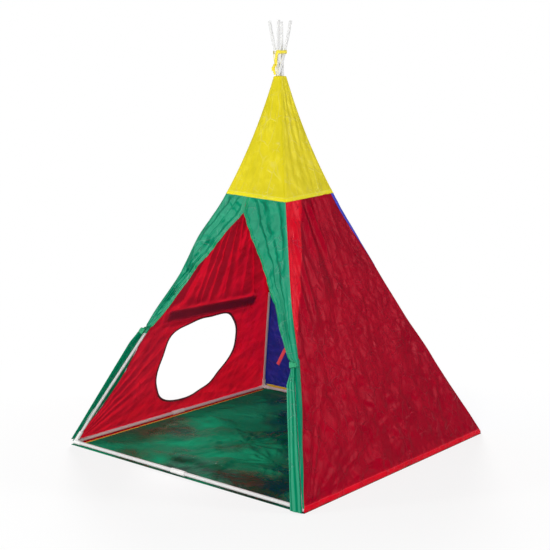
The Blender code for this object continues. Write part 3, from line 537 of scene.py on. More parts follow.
def taffeta(name, single, doubled, highlight_and_stitch_colour, pale_inside_reflection, through, crisp):
    """Coated polyester: fine plain weave, painted satin sheen and fold shade, creases with painted
    highlights, light shining through.

    Hems and pole sleeves are doubled, which gives them a fuller colour. The third colour is that of
    the painted highlights on creases and folds and of the stitches, and the fourth that of the inner
    side, painted paler, partly as a painted reflection. through is the share of the light that a
    single layer lets through, and crisp the strength of its creases and of their painted light and shade.
    """
    material, tree, output = new_finish(name)
    flat = add_node(tree, "UVMap", uv_map="flat")
    layers = add_node(tree, "Attribute", out="Fac", attribute_name="doubled")
    # Threads are 0.2 mm apart, drawn at 1 mm so that they show at all.
    weave = plain_weave(tree, flat, 314.0, 0.4)
    creased, crumpled = pack_lines(tree, flat)
    stitches = lock_stitches(tree)
    clouds = add_node(tree, "TexNoise", {"Vector": flat, "Scale": 9.0, "Detail": 4.0})
    shade = add_node(
        tree,
        "MapRange",
        {"Value": clouds, "From Min": 0.3, "From Max": 0.7, "To Min": 0.86, "To Max": 1.0},
    )
    base = add_node(
        tree,
        "Mix",
        {"Factor": layers, "A": linear(single), "B": linear(doubled)},
        out=2,
        data_type="RGBA",
    )
    # The inner side is painted paler: partly its own duller colour, partly painted reflection.
    inside = add_node(tree, "Attribute", out="Fac", attribute_name="inside")
    base = add_node(
        tree, "Mix", {"Factor": inside, "A": base, "B": linear(pale_inside_reflection)}, out=2, data_type="RGBA"
    )
    painted_light = add_node(tree, "Attribute", out="Fac", attribute_name="painted_light")
    # Painted satin highlight: the facets turned most to the tent's right front are painted towards the
    # pale colour.
    painted_satin_highlight = add_node(
        tree, "MapRange", {"Value": painted_light, "From Min": 0.66, "From Max": 1.0, "To Max": 0.34 * crisp}
    )
    # Painted highlights on the crease lines and on those facets, and the pale stitches, draw the colour
    # towards the pale one.
    marks_and_painted_highlight = add_node(tree, "Math", {0: creased, 1: 0.50, 2: painted_satin_highlight}, operation="MULTIPLY_ADD")
    marks_and_painted_highlight = add_node(tree, "Math", {0: marks_and_painted_highlight, 1: stitches}, operation="MAXIMUM")
    base = add_node(tree, "Mix", {"Factor": marks_and_painted_highlight, "A": base, "B": linear(highlight_and_stitch_colour)}, out=2, data_type="RGBA")
    # Painted light and shade: the side of a fold that faces the tent's right front is painted lighter
    # and the other side darker. Doubled cloth is painted at the lighter end.
    flattened = add_node(tree, "Math", {0: layers, 1: layers}, operation="MULTIPLY")
    painted_light = add_node(tree, "Math", {0: painted_light, 1: flattened}, operation="MAXIMUM")
    painted_fold_shade = add_node(tree, "MapRange", {"Value": painted_light, "To Min": 1.0 - 0.42 * crisp, "To Max": 1.0})
    shade = add_node(tree, "Math", {0: shade, 1: painted_fold_shade}, operation="MULTIPLY")
    base = add_node(tree, "VectorMath", {0: base, "Scale": shade}, operation="SCALE")
    rough = add_node(
        tree,
        "MapRange",
        {"Value": clouds, "From Min": 0.3, "From Max": 0.7, "To Min": 0.27, "To Max": 0.40},
    )
    threads = add_node(tree, "Bump", {"Height": weave, "Strength": 0.20, "Distance": 0.00008})
    sewn = add_node(
        tree, "Bump", {"Height": stitches, "Strength": 0.6, "Distance": 0.0004, "Normal": threads}
    )
    # Some parts are crumpled and others have hung smooth.
    calm = add_node(tree, "TexNoise", {"Vector": flat, "Scale": 5.0, "Detail": 1.0})
    calm = add_node(
        tree,
        "MapRange",
        {"Value": calm, "From Min": 0.40, "From Max": 0.62, "To Min": 0.25, "To Max": 1.0},
    )
    crumpled = add_node(tree, "Math", {0: crumpled, 1: calm}, operation="MULTIPLY")
    soft = add_node(
        tree, "Bump", {"Height": crumpled, "Strength": crisp, "Distance": 0.016, "Normal": sewn}
    )
    bumps = add_node(
        tree, "Bump", {"Height": creased, "Strength": crisp, "Distance": 0.0015, "Normal": soft}
    )
    front = add_node(
        tree,
        "BsdfPrincipled",
        {
            "Base Color": base,
            "Roughness": rough,
            "Normal": bumps,
            "IOR": 1.53,
            "Specular IOR Level": 0.40,
            "Specular Tint": linear(doubled),
        },
    )
    behind = add_node(tree, "BsdfTranslucent", {"Color": base, "Normal": bumps})
    dimmed = add_node(tree, "Math", {0: layers, 1: -0.3 * through, 2: through}, operation="MULTIPLY_ADD")
    mixed = add_node(tree, "MixShader", {0: dimmed, 1: front, 2: behind})
    tree.links.new(mixed, output.inputs["Surface"])
    return material


red = taffeta("red_polyester_taffeta", "ea0442", "ff0c34", "f4506c", "f85884", 0.66, 0.95)
blue = taffeta("blue_polyester_taffeta", "3a46dc", "4848e0", "7c7cea", "4858dc", 0.25, 1.0)
green = taffeta("green_polyester_taffeta", "0cbe90", "06a870", "84dcc0", "34cca4", 0.42, 0.95)
yellow = taffeta("yellow_polyester_taffeta", "fff22c", "fff428", "fff890", "fff450", 0.32, 0.30)


def side_grid(heights, count):
    """Distance along the cloth and height of every point of a whole side."""
    round_pole = np.linspace(0.0, math.pi / 4, 5)[1:]
    flat = np.concatenate([np.full(4, -1.0), np.linspace(-1.0, 1.0, count), np.full(4, 1.0)])
    turn = np.concatenate([-round_pole[::-1], np.zeros(count), round_pole])
    height = np.repeat(heights[:, None], len(flat), axis=1)
    along = flat * (reach(height) - CORNER_ROUND) + turn * CORNER_ROUND
    return along, height


def up_cloth(height, heights):
    """Length up the cloth of each point, from the lowest of the heights of its rows."""
    steps = np.hypot(np.diff(heights), np.diff(reach(heights)))
    return np.interp(height, heights, np.concatenate([[0.0], np.cumsum(steps)]))


def from_corner(along, height):
    """Distance along the cloth to the middle of the nearer corner."""
    return half_width(height) - np.abs(along)


def held(distance, over):
    """0 where the cloth is sewn down, rising to 1 over this distance."""
    return ease(distance / over)


# The window is a rounded opening cut by hand in the left wall, a little uneven all round. The
# tape that binds its edge and the cover that is rolled up above it come further down.
WINDOW = (-0.007, 0.2205, 0.197, 0.172, 2.35)  # middle along and up, half sizes, squareness


def window_outline(across, rise):
    """How far the hand-cut edge strays from an even oval, round the window."""
    turn = np.degrees(np.arctan2(rise, across))
    size = 0.972
    # Where it bulges or is cut short, in degrees round it, how wide that is and by how much.
    for at, wide, more in (
        (38, 15, 0.130),
        (90, 10, -0.018),
        (116, 12, 0.045),
        (180, 14, 0.050),
        (-147, 14, -0.065),
        (-118, 12, -0.045),
        (-33, 14, -0.030),
    ):
        apart = (turn - at + 180.0) % 360.0 - 180.0
        size = size + more * np.exp(-((apart / wide) ** 2))
    return size


def window_reach(along, height):
    """1 on the window's edge, less inside it."""
    middle, up, half_wide, half_high, squareness = WINDOW
    across, rise = (along - middle) / half_wide, (height - up) / half_high
    oval = (np.abs(across) ** squareness + np.abs(rise) ** squareness) ** (1.0 / squareness)
    return oval / window_outline(across, rise)


def snapped_to_window(along, height):
    """Moves the grid points nearest the window's edge on to it, and says which to keep.

    Where the edge crosses the way to one of its eight neighbours, within half of that way, a
    point moves to the crossing that is nearest.
    """
    edge = window_reach(along, height) - 1.0
    grid = np.stack([along, height])
    move = np.zeros(grid.shape)
    best = np.full(along.shape, 9.0)  # as if the edge were nine steps off
    for step in ((0, -1), (0, 1), (-1, 0), (1, 0), (-1, -1), (1, 1), (-1, 1), (1, -1)):
        there = np.roll(edge, step, (0, 1))
        share = np.where(edge * there < 0.0, edge / (edge - there + 1e-12), 9.0)
        nearer = (share <= 0.5) & (share < best)
        best = np.where(nearer, share, best)
        move = np.where(nearer, (np.roll(grid, step, (1, 2)) - grid) * share, move)
    along, height = grid + move
    return along, height, (edge > 0.0) | (best < 9.0)


def strip_width(height, side):
    """How far the green door cloth comes round its corner on to each side wall."""
    if side == 3:
        # Between its foot and the door's tie the left one is cut in a bulge.
        lens = np.sin(math.pi * np.clip(height / 0.375, 0.0, 1.0))
        return 0.010 * (1.0 - ease((height - 0.70) / 0.10)) + 0.036 * lens
    return 0.020 * ease(height / 0.340) * (1.0 - ease((height - 0.372) / 0.030))


def corner_wave(along, height, side):
    """The cover is a little slack over the poles: the same wave on both sides of a corner."""
    corner = (side + (along > 0)) % 4
    near = 1.0 - held(from_corner(along, height), 0.05)
    waves = sum(drift(height / 0.115, 2.7, 300 + c) * (corner == c) for c in range(4))
    waves = 0.0046 * waves * near * held(height, 0.08) * held(SEAM - height, 0.06)
    # At the front left it stands well off its pole, under the cap.
    loose = np.exp(-(((height - 0.70) / 0.085) ** 2)) * held(SEAM - height, 0.08) * (corner == 0)
    return waves + 0.015 * loose * (1.0 - held(from_corner(along, height), 0.10))


for side, side_name, finish, slot, seed in (
    (1, "right", red, "red_cloth", 11),
    (2, "back", blue, "blue_cloth", 23),
    (3, "left", red, "red_cloth", 37),
):
    # The right wall is the one most in view, and has the finest grid.
    heights = np.linspace(HEM, WALL_TOP, 205 if side == 1 else 170)
    along, height = side_grid(heights, 190 if side == 1 else 160)
    keep = None
    front = -1 if side == 1 else 1  # the sign of along towards the front corner
    if side != 2:
        # The front edge of a side wall is sewn to the green cloth a little behind the corner, and
        # the front quarter of its grid is drawn in to there.
        cut = half_width(height) - strip_width(height, side)
        ahead = along * front
        drawn = 0.5 * cut + (ahead - 0.5 * cut) * 0.5 * cut / (half_width(height) - 0.5 * cut)
        along = np.where(ahead > 0.5 * cut, drawn, ahead) * front
    if side == 3:
        along, height, keep = snapped_to_window(along, height)
    up = up_cloth(height, heights)
    from_side = from_corner(along, height)
    pinned = held(from_side, 0.075) * held(SEAM - height, 0.045)
    folds = packed_creases(along, up, seed) * held(from_side, 0.03) * held(SEAM - height, 0.012)
    pulled = 0.0045 * fans(along, height, 0.02 * front, 1.30, 13.0, seed + 1)
    pulled = pulled * ease((height - 0.30) / 0.35)
    if side == 1:
        ahead = ease((from_side - 0.02) / 0.03) * ease((0.26 - from_side) / 0.10) * (along < 0)
        ahead = ahead * ease((height - 0.36) / 0.2) * held(SEAM - height, 0.05)
        folds = folds * (1.0 - 0.35 * ease((height - 0.42) / 0.25)) * (1.0 - 0.3 * ahead)
        folds = folds + 0.036 * fans(along, height, -0.12, 1.45, 12.0, 5) * ahead
    if side == 3:
        # The roll's weight draws long straight folds from it up to the top of the wall.
        long_folds = 0.0420 * fans(along, height, 0.03, 1.02, 9.0, 8)
        pulled = pulled + long_folds * ease((height - 0.44) / 0.04)
        # At its front end the roll tugs up one short fold.
        tug = np.abs(along - 0.238 - 0.30 * (height - 0.44))
        tug = np.exp(-((tug / 0.006) ** 2)) * ease((height - 0.375) / 0.03)
        folds = folds * 0.6 + 0.005 * (tug * ease((0.475 - height) / 0.03))
    # Both bottom corners pull at it, the front one more.
    low = ease((0.60 - height) / 0.45)
    pulled = pulled + 0.0065 * fans(along, height, 0.50 * front, -0.02, 8.0, seed + 2) * low
    pulled = pulled + 0.0040 * fans(along, height, -0.50 * front, -0.02, 8.0, seed + 3) * low
    sag = -0.0045 * np.sin(math.pi * np.clip(height / SEAM, 0, 1))
    sag = sag * (1 - (along / half_width(height)) ** 2)
    hem = held(height - HEM, 0.020)
    # The hem is stiffer: at its edge only a quarter of the folds are left.
    proud = 0.0005 + (folds + pulled * pinned + sag * pinned) * between(0.25, 1.0, hem)
    proud = proud + corner_wave(along, height, side)
    # Low down it can't sink in against the base tubes.
    proud = np.maximum(proud, between(-0.0008, -0.0300, held(height - HEM - 0.024, 0.05)))
    if side == 3:
        # It lies flat round the window and under the roll.
        rim = np.clip((window_reach(along, height) - 1.0) / 0.12, 0.0, 1.0)
        proud = 0.0006 + (proud - 0.0006) * between(0.30, 1.0, rim)
        under_roll = ease((height - 0.375) / 0.02) * ease((0.455 - height) / 0.02)
        under_roll = under_roll * ease((0.26 - np.abs(along)) / 0.02)
        proud = np.where(under_roll > 0, between(proud, 0.0016, under_roll), proud)
    doubled = 1.0 - ease((height - HEM - 0.018) / 0.004)
    if side == 1:
        # Behind its front edge the wall is doubled by the pole sleeve, wider towards the top.
        sleeve = 0.078 * np.clip((height - 0.37) / 0.47, 0.0, 1.0) ** 0.7
        sleeve = sleeve + 0.003 * drift(height / 0.05, 2.2, 3)
        sleeve = ease((sleeve - from_side) / 0.006 + 0.5) * (along < 0) * (height > 0.37)
        doubled = np.maximum(doubled, sleeve)
    piece = sheet_mesh(
        f"{side_name}_wall_cloth",
        on_cover(along, height, proud, side),
        stacked(along, up),
        stacked(along, height - HEM - 0.016),
        doubled,
        keep,
        contrast=(1.0, 2.8, 2.4)[side - 1],
    )
    make_cloth(piece, finish, "tent", pale_inside_reflection=True)
    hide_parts(f"{side_name}_wall")
    area = 0.56 if side != 3 else 0.45  # the left one has the window cut out

# The cap: four yellow gores that run up to a small opening round the crossed poles. Its
# lower edge is folded under and sewn over the top edge of the walls.
CAP_TOP = 1.240  # its upper edge
for side, side_name in enumerate(("front", "right", "back", "left")):
    heights = np.linspace(SEAM - 0.0045, CAP_TOP, 96)
    along, height = side_grid(heights, 56)
    up = up_cloth(height, heights)
    from_side = from_corner(along, height)
    loose = held(from_side, 0.02) * held(height - SEAM, 0.03) * held(CAP_TOP - height, 0.06)
    proud = 0.0009 + packed_creases(along, up, 51 + side) * 0.45 * loose
    proud += 0.0036 * fans(along, height, 0.0, 1.42, 17.0, 61 + side) * loose
    band = 1.0 - ease((height - SEAM - 0.010) / 0.002)
    proud += 0.0005 * band
    piece = sheet_mesh(
        f"cap_{side_name}_cloth",
        on_cover(along, height, proud, side),
        stacked(along, up),
        stacked(along, height - SEAM - 0.0075),
        band,
    )
    make_cloth(piece, yellow, "tent", pale_inside_reflection=True)
    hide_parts(f"cap_{side_name}")

# The door: two green flaps under the cap, each drawn back to its pole and tied there, so
# that it hangs in soft pleats that tighten towards the tie. Their inner edges are hemmed.
APEX = (-0.030, 0.794)  # where the two flaps part, along the front and up
WAIST = 0.019  # width of a flap inside its tie
PLEAT = 0.006  # depth of a pleat
STANDOFF = 0.0024  # how far the cloth stands off its pole by the tie
TIE_HALF = 0.006  # half the width of a tie
TIE_GAP = 0.0003
DRAWN_OVER = 0.200  # the height over which a flap is drawn in to its tie
left_door = {
    "name": "left",
    "hand": -1,
    "tie": 0.388,
    "outset": 0.011,
    "slack": 0.024,
    "cut": (0.17, 0.50),
    "area": 0.042,
}
right_door = {
    "name": "right",
    "hand": 1,
    "tie": 0.368,
    "outset": 0.004,
    "slack": 0.006,
    "cut": (0.22, 0.53),
    "area": 0.060,
}
for door in (left_door, right_door):
    # Just above its tie, where it is as narrow as it gets.
    door["gathered"] = door["tie"] + TIE_HALF + TIE_GAP


def waist_middle(door, height):
    """Where the middle of a gathered flap lies, along the front."""
    return door["hand"] * (spread(height) + door["outset"])


def middle_line(door, height):
    """A point in the middle of the gathered flap, and of all that hangs from its tie."""
    return Vector((waist_middle(door, height), -(reach(height) + 0.0059), AXIS_Z + height))


def door_edges(door, height):
    """The outer and inner edges of a tied-back flap, along the front."""
    hand = door["hand"]
    above = height - door["gathered"]
    free = ease(above / DRAWN_OVER)
    outer = between(waist_middle(door, height) + hand * WAIST / 2, hand * half_width(height), free)
    share = np.clip(above / (APEX[1] - door["gathered"]), 0.0, 1.0)
    drawn = waist_middle(door, np.minimum(height, door["gathered"])) - hand * WAIST / 2
    slack = door["slack"] * ease(above / 0.010) * (1.0 - ease((share - 0.10) / 0.45))
    return outer, between(drawn, APEX[0] + hand * 0.00015, share) - hand * slack


for door, seed in ((left_door, 71), (right_door, 83)):
    hand = door["hand"]
    gathered = door["gathered"]
    in_tie = np.linspace(door["tie"] - TIE_HALF + TIE_GAP, gathered, 4)[:-1]
    heights = np.concatenate([in_tie, np.linspace(gathered, WALL_TOP, 150)])
    share = np.linspace(0.0, 1.0, 110)[None, :]
    height = np.repeat(heights[:, None], 110, axis=1)
    outer, inner = door_edges(door, height)
    along = between(outer, inner, share)
    up = up_cloth(height, heights)
    above = height - gathered
    fade = np.clip(1.0 - np.maximum(0.0, above) / (APEX[1] - gathered), 0.0, 1.0)
    drawn_in = 1.0 - ease(above / DRAWN_OVER)
    # Two broad pleats that tighten towards the tie, with five fine ones over them.
    sway = 0.5 * drift(height / 0.09, 3.1, seed) * (1 - drawn_in)
    wave = 0.5 - 0.5 * np.cos(2 * math.pi * 2 * share + drawn_in * math.pi / 2 + sway)
    proud = PLEAT * fade**1.3 * wave + STANDOFF * drawn_in + 0.0005
    finer = 0.5 - 0.5 * np.cos(2 * math.pi * 5 * share + 2.0 * drift(height / 0.12, 7.3, seed))
    proud += 0.0014 * finer * ease((above - 0.02) / 0.06) * fade
    from_inner = np.abs(along - inner)
    from_outer = np.abs(along - outer)
    loose = held(SEAM - height, 0.02) * held(from_outer, 0.03) * ease(above / 0.12)
    proud += packed_creases(along, up, seed) * loose * 1.5
    # Straight folds fan out from the tie as well.
    from_tie = fans(along, height, hand * 0.33, door["tie"], 14.0, seed + 5)
    proud += 0.0200 * from_tie * loose * held(from_inner, 0.02)
    doubled = 1.0 - ease((from_inner - 0.0125) / 0.0025)
    proud += 0.0006 * doubled * ease(above / 0.10)
    proud += corner_wave(along, height, 0) * (1.0 - drawn_in)
    piece = sheet_mesh(
        f"door_flap_{door['name']}",
        on_cover(along, height, proud, 0),
        stacked(along, up),
        stacked(up, from_inner - 0.011),
        doubled,
        contrast=2.2,
    )
    make_cloth(piece, green, "tent", pale_inside_reflection=True)
    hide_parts(f"front_flap_{door['name']}")

# Green cloth goes with the door round both front corners, down to the foot of the pole. High
# up at the back right the blue cloth laps round its corner in the same way.
for strip_name, side, front, bottom, top, finish, slot, cut, area, seed in (
    ("door_corner_strip_left", 3, 1, 0.004, WALL_TOP, green, "green_cloth", (0.05, 0.93), 0.026, 91),
    ("door_corner_strip_right", 1, -1, 0.004, 0.400, green, "green_cloth", (0.05, 0.43), 0.0066, 97),
    ("back_corner_strip_right", 1, 1, 0.60, WALL_TOP, blue, "blue_cloth", (0.03, 0.27), 0.0046, 101),
):
    heights = np.linspace(bottom, top, 130)
    share = np.linspace(0.0, 1.0, 18)[None, :]
    height = np.repeat(heights[:, None], 18, axis=1)
    wide = strip_width(height, side) + 0.0008
    if finish is blue:
        wide = 0.0015 + 0.0165 * ease((height - bottom) / 0.20)
    along = front * (half_width(height) + 0.003 - (wide + 0.003) * share)
    up = up_cloth(height, heights)
    from_seam = wide * (1.0 - share)
    proud = 0.0012 + packed_creases(along, up, seed) * 0.3 * held(from_seam, 0.01)
    proud = proud + corner_wave(along, height, side)
    piece = sheet_mesh(
        strip_name,
        on_cover(along, height, proud, side),
        stacked(along, up),
        stacked(up, from_seam - 0.0045),
        0.25 * (1.0 - ease((from_seam - 0.006) / 0.002)),
    )
    make_cloth(piece, finish, "tent")

# Below its tie each flap hangs down beside the pole as a loose hank of long folds, and swings
# about the gathers. It is the lower part of the same cloth, drawn together under the tape.
THIN_CLOTH = 0.0004  # for cloth that lies in many layers
# heading is the way its width runs in plan, in degrees, and floor_gap its height above the
# floor. low and high are half its width and depth at its foot and under its tie. overlap is how
# far it reaches back past the line from tie to foot, and necked how much of its length narrows.
for door, heading, floor_gap, low, high, overlap, necked, cut, area, seed in (
    (left_door, 240.0, 0.020, (0.0048, 0.0024), (0.0125, 0.0040), 0.0082, 0.12, (0.17, 0.38), 0.045, 131),
    (right_door, 184.0, 0.003, (0.0205, 0.0038), (0.0140, 0.0038), 0.0040, 0.13, (0.30, 0.36), 0.088, 137),
):
    # The bundle hangs along a straight line from the tie down to the foot of the pole.
    foot = middle_line(door, 0.0)
    line = middle_line(door, door["tie"]) - foot
    way_up = line.normalized()
    plan = Vector((math.cos(math.radians(heading)), math.sin(math.radians(heading)), 0.0))
    way_out = (plan - way_up * plan.dot(way_up)).normalized()
    way_deep = way_up.cross(way_out)
    neck = 0.0092 if door is left_door else 0.0066  # its radius inside the tie
    top = line.length - (TIE_HALF + TIE_GAP + neck * math.sqrt(1.0 - way_up.z**2)) / way_up.z
    door["hanging"] = (foot, way_up, top)
    rows, steps = 90, 120
    share = np.linspace(0.0, 1.0, rows)[:, None]
    step = np.linspace(0.0, 1.0, steps)[None, :]
    body = ease((1.0 - share) / necked)
    half_wide = between(neck, between(low[0], high[0], share), body)
    half_deep = between(neck, between(low[1], high[1], share), body) * 0.94
    hang = (between(low[0], high[0], share) - overlap) * body
    # The cloth goes to and fro across the hank in layers, with rounded turns between them.
    layers = 7
    across = np.arcsin(0.985 * np.sin(math.pi * (layers * step - 0.5))) / 1.40
    across = across * (1.0 - 0.10 * np.abs(drift(step * layers / 2 + 0.3, share * 3.1, seed)))
    depth = between(-1.0, 1.0, step) + 0.10 * np.sin(math.pi * across) * body
    depth = depth * np.sqrt(np.maximum(1.0 - 0.72 * across**2, 0.1))
    depth = depth + 0.34 * drift(across * 2.6 + 5.0, share * 1.6, seed + 1) * body
    wander = 0.5 * drift(across + 2.0, share * 1.8, seed + 2)
    valleys = np.abs(np.sin(math.pi * (1.35 * across + 0.2 + wander)))
    depth = depth * (1.0 - 0.70 * (1.0 - valleys) ** 2 * body)
    across = across * (0.97 - 0.12 * (1.0 - depth) * 0.5)
    offset = (hang + half_wide * across)[..., None] * np.array(way_out)
    offset = offset + (half_deep * np.clip(depth, -1.0, 1.0))[..., None] * np.array(way_deep)
    lowest = (floor_gap + 0.0004 - foot.z - offset[..., 2]) / way_up.z
    lift = between(lowest, top, share)
    points = np.array(foot) + offset + lift[..., None] * np.array(way_up)
    section = np.stack([half_wide * across, half_deep * depth])
    along = np.cumsum(np.hypot(*np.gradient(section, axis=2)), axis=1)
    piece = sheet_mesh(
        f"hanging_flap_{door['name']}",
        points,
        stacked(along, lift),
        stacked(lift, along - 0.008),
        0.45 + 0.55 * (along < 0.010),
        contrast=0.9,
        # Painted shade in the valleys between its layers.
        shade=np.clip(1.6 * valleys - 0.15, 0.0, 1.0),
    )
    make_cloth(piece, green, f"{door['name']}_flap_tail", THIN_CLOTH)
    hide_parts(f"{door['name']}_flap_tail")

# Woven tapes, about 12 mm wide and half a millimetre thick: the ties of the door and of the
# window roll, the edge tapes and the ribbon at the top. Matt polyester with cross ribs.
TAPE = 0.0006
THICK_TAPE = 0.0007
def woven_tape(name, colour, shaded):
    """Grosgrain tape: fine ribs across it, a little fuzzy, with painted shade between the fibres."""
    material, tree, output = new_finish(name)
    flat = add_node(tree, "UVMap", uv_map="flat")
    # Ribs are 0.5 mm apart, drawn at 1.2 mm so that they show.
    ribs = add_node(
        tree, "TexWave", {"Vector": flat, "Scale": 262.0, "Distortion": 0.3}, out=1, bands_direction="Y"
    )
    fuzz = add_node(tree, "TexNoise", {"Vector": flat, "Scale": 420.0, "Detail": 4.0})
    height = add_node(tree, "Math", {0: ribs, 1: fuzz}, operation="ADD")
    base = add_node(
        tree, "Mix", {"Factor": fuzz, "A": linear(shaded), "B": linear(colour)}, out=2, data_type="RGBA"
    )
    rough = add_node(tree, "MapRange", {"Value": fuzz, "To Min": 0.58, "To Max": 0.78})
    bumps = add_node(tree, "Bump", {"Height": height, "Strength": 0.5, "Distance": 0.0002})
    shader = add_node(
        tree,
        "BsdfPrincipled",
        {"Base Color": base, "Roughness": rough, "Normal": bumps, "IOR": 1.53, "Sheen Weight": 0.15},
    )
    tree.links.new(shader, output.inputs["Surface"])
    return material


red_tape = woven_tape("red_polyester_tape", "d41430", "a00a20")
green_tape = woven_tape("green_polyester_tape", "14b478", "0c8a5c")
yellow_tape = woven_tape("yellow_polyester_tape", "fff048", "ecd420")


def tape_mesh(name, route, way, width, seed):
    """A tape along a route of points. way holds the direction of its width at each point."""
    route, way = np.asarray(route, float), np.asarray(way, float)
    way = way / np.linalg.norm(way, axis=1)[:, None]
    ahead = np.gradient(route, axis=0)
    normal = np.cross(ahead, way)
    normal = normal / np.linalg.norm(normal, axis=1)[:, None]
    across = np.linspace(-0.5, 0.5, 7)[None, :]
    steps = np.linalg.norm(np.diff(route, axis=0), axis=1)
    length = np.concatenate([[0.0], np.cumsum(steps)])[:, None]
    # It is cupped a little, as tape that has been pulled tight is.
    curl = 0.02 * width * drift(across * 1.6, length / 0.030, seed) - 0.10 * width * across**2
    points = route[:, None] + way[:, None] * (across * width)[..., None]
    points = points + normal[:, None] * curl[..., None]
    return sheet_mesh(name, points, stacked(across * width, length))


def smooth_route(points, count):
    """A smooth curve through a few points, as a chain of straight steps."""
    points = [Vector(point) for point in points]
    ends = [points[0] * 2 - points[1]] + points + [points[-1] * 2 - points[-2]]
    route = []
    for position in np.linspace(0.0, len(points) - 1.0001, count):
        i, t = int(position), position - int(position)
        a, b, c, d = ends[i : i + 4]
        square, cube = 2 * a - 5 * b + 4 * c - d, 3 * b - a - 3 * c + d
        route.append(0.5 * (2 * b + (c - a) * t + square * t**2 + cube * t**3))
    return [tuple(point) for point in route]


def tape_knot(name, middle, size, turn, finish):
    """A tape pulled tight into an overhand knot: a trefoil of rounded cord-like tape."""
    steps, around = 96, 10
    points = np.zeros((around, steps, 3))
    for i in range(steps):
        angle = 2 * math.pi * i / steps
        here, after = (
            Vector(
                (
                    (2.0 + math.cos(3 * a)) * math.cos(2 * a),
                    (2.0 + math.cos(3 * a)) * math.sin(2 * a),
                    1.1 * math.sin(3 * a),
                )
            )
            for a in (angle, angle + 0.01)
        )
        ahead = (after - here).normalized()
        side_way = ahead.cross(Vector((0.0, 0.0, 1.0))).normalized()
        rise = side_way.cross(ahead)
        for j in range(around):
            tilt = 2 * math.pi * j / around
            spot = here + side_way * math.cos(tilt) * 1.05 + rise * math.sin(tilt) * 0.80
            points[j, i] = Vector(middle) + turn @ (spot * size / 4.0)
    points = np.concatenate([points, points[:1]], axis=0)
    flat = stacked(np.linspace(0.0, 0.012, around + 1)[:, None], np.linspace(0.0, 0.08, steps))
    piece = sheet_mesh(name, points, flat, closed=True)
    edit = bmesh.new()
    edit.from_mesh(piece.data)
    bmesh.ops.remove_doubles(edit, verts=edit.verts, dist=0.00001)
    bmesh.ops.recalc_face_normals(edit, faces=edit.faces)
    edit.to_mesh(piece.data)
    edit.free()
    dress(piece, finish, "tent")


def squarish(wave, power):
    """A sine or cosine swelled out, so that a circle becomes a rounded rectangle."""
    return np.sign(wave) * np.abs(wave) ** power


# The door ties: a green tape drawn tight round each gathered flap and knotted, the left one in
# front and the right one at its inner side.
for door, seed in ((left_door, 151), (right_door, 157)):
    half_long, half_deep = WAIST / 2 + 0.0021, (PLEAT + 0.001) / 2 + 0.0011
    angles = 2 * math.pi * np.arange(64) / 64
    round_x = squarish(np.cos(angles), 0.6) * half_long
    round_y = squarish(np.sin(angles), 0.6) * half_deep
    foot, way_up, hanging_top = door["hanging"]
    rows = []
    for row in np.linspace(-1.0, 1.0, 9):
        middle = np.array(middle_line(door, door["tie"] + 0.0058 * row))
        swell = 1.0 + 0.05 * drift(angles * 1.6, row * 1.3, seed) - 0.05 * row**2
        ring = middle + stacked(round_x * swell, round_y * swell, 0.0008 * np.sin(3 * angles + seed))
        # Its lower edge slants to meet what hangs from it.
        gap = (ring - np.array(foot)) @ np.array(way_up) - hanging_top - 0.0012
        drop = np.minimum(np.maximum(gap, 0.0), 0.012) * (1.0 - row) / 2
        rows.append(ring - drop[:, None] * np.array(way_up))
    points = np.array(rows)
    flat = stacked(np.linspace(0.0, 2 * TIE_HALF, 9)[:, None], angles * 0.009)
    piece = sheet_mesh(f"tied_tape_{door['name']}", points, flat, closed=True)
    make_cloth(piece, green_tape, "tent", THICK_TAPE, offset=1.0)
    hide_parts(f"{door['name']}_flap_tie")
    if door is left_door:
        beside_it = Vector((0.001, -(half_deep + 0.0008), 0.0))
    else:
        beside_it = Vector((-(half_long - 0.001), 0.0042, 0.0))
    knot_place = middle_line(door, door["tie"]) + beside_it
    tilt = Matrix.Rotation(0.7, 3, "X")
    tape_knot(f"tie_knot_{door['name']}", knot_place, 0.0031, tilt, green_tape)

# A red woven tape is sewn to the right flap as well, a little above its tie. Nothing is
# fastened with it, and its loose end hangs down inside the tent.
top = Vector((spread(0.416) - 0.00622, -spread(0.416) + 0.001, AXIS_Z + 0.416))
route = smooth_route(
    [
        top + Vector(step)
        for step in (
            (-0.0005, 0.0, 0.0),
            (-0.009, -0.002, -0.006),
            (-0.018, -0.004, -0.018),
            (-0.027, -0.006, -0.034),
            (-0.036, -0.007, -0.051),
            (-0.045, -0.008, -0.068),
        )
    ],
    30,
)
way = np.array([(0.91, 0.05 * math.sin(i / 5), -0.41) for i in range(30)])
route = np.array(route) - np.array((0.91, 0.0, -0.41)) * TIE_HALF
piece = tape_mesh("loose_tape_right", route, way, 2 * TIE_HALF, 161)
make_cloth(piece, red_tape, "tent", THICK_TAPE)
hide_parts("right_tie_tail")

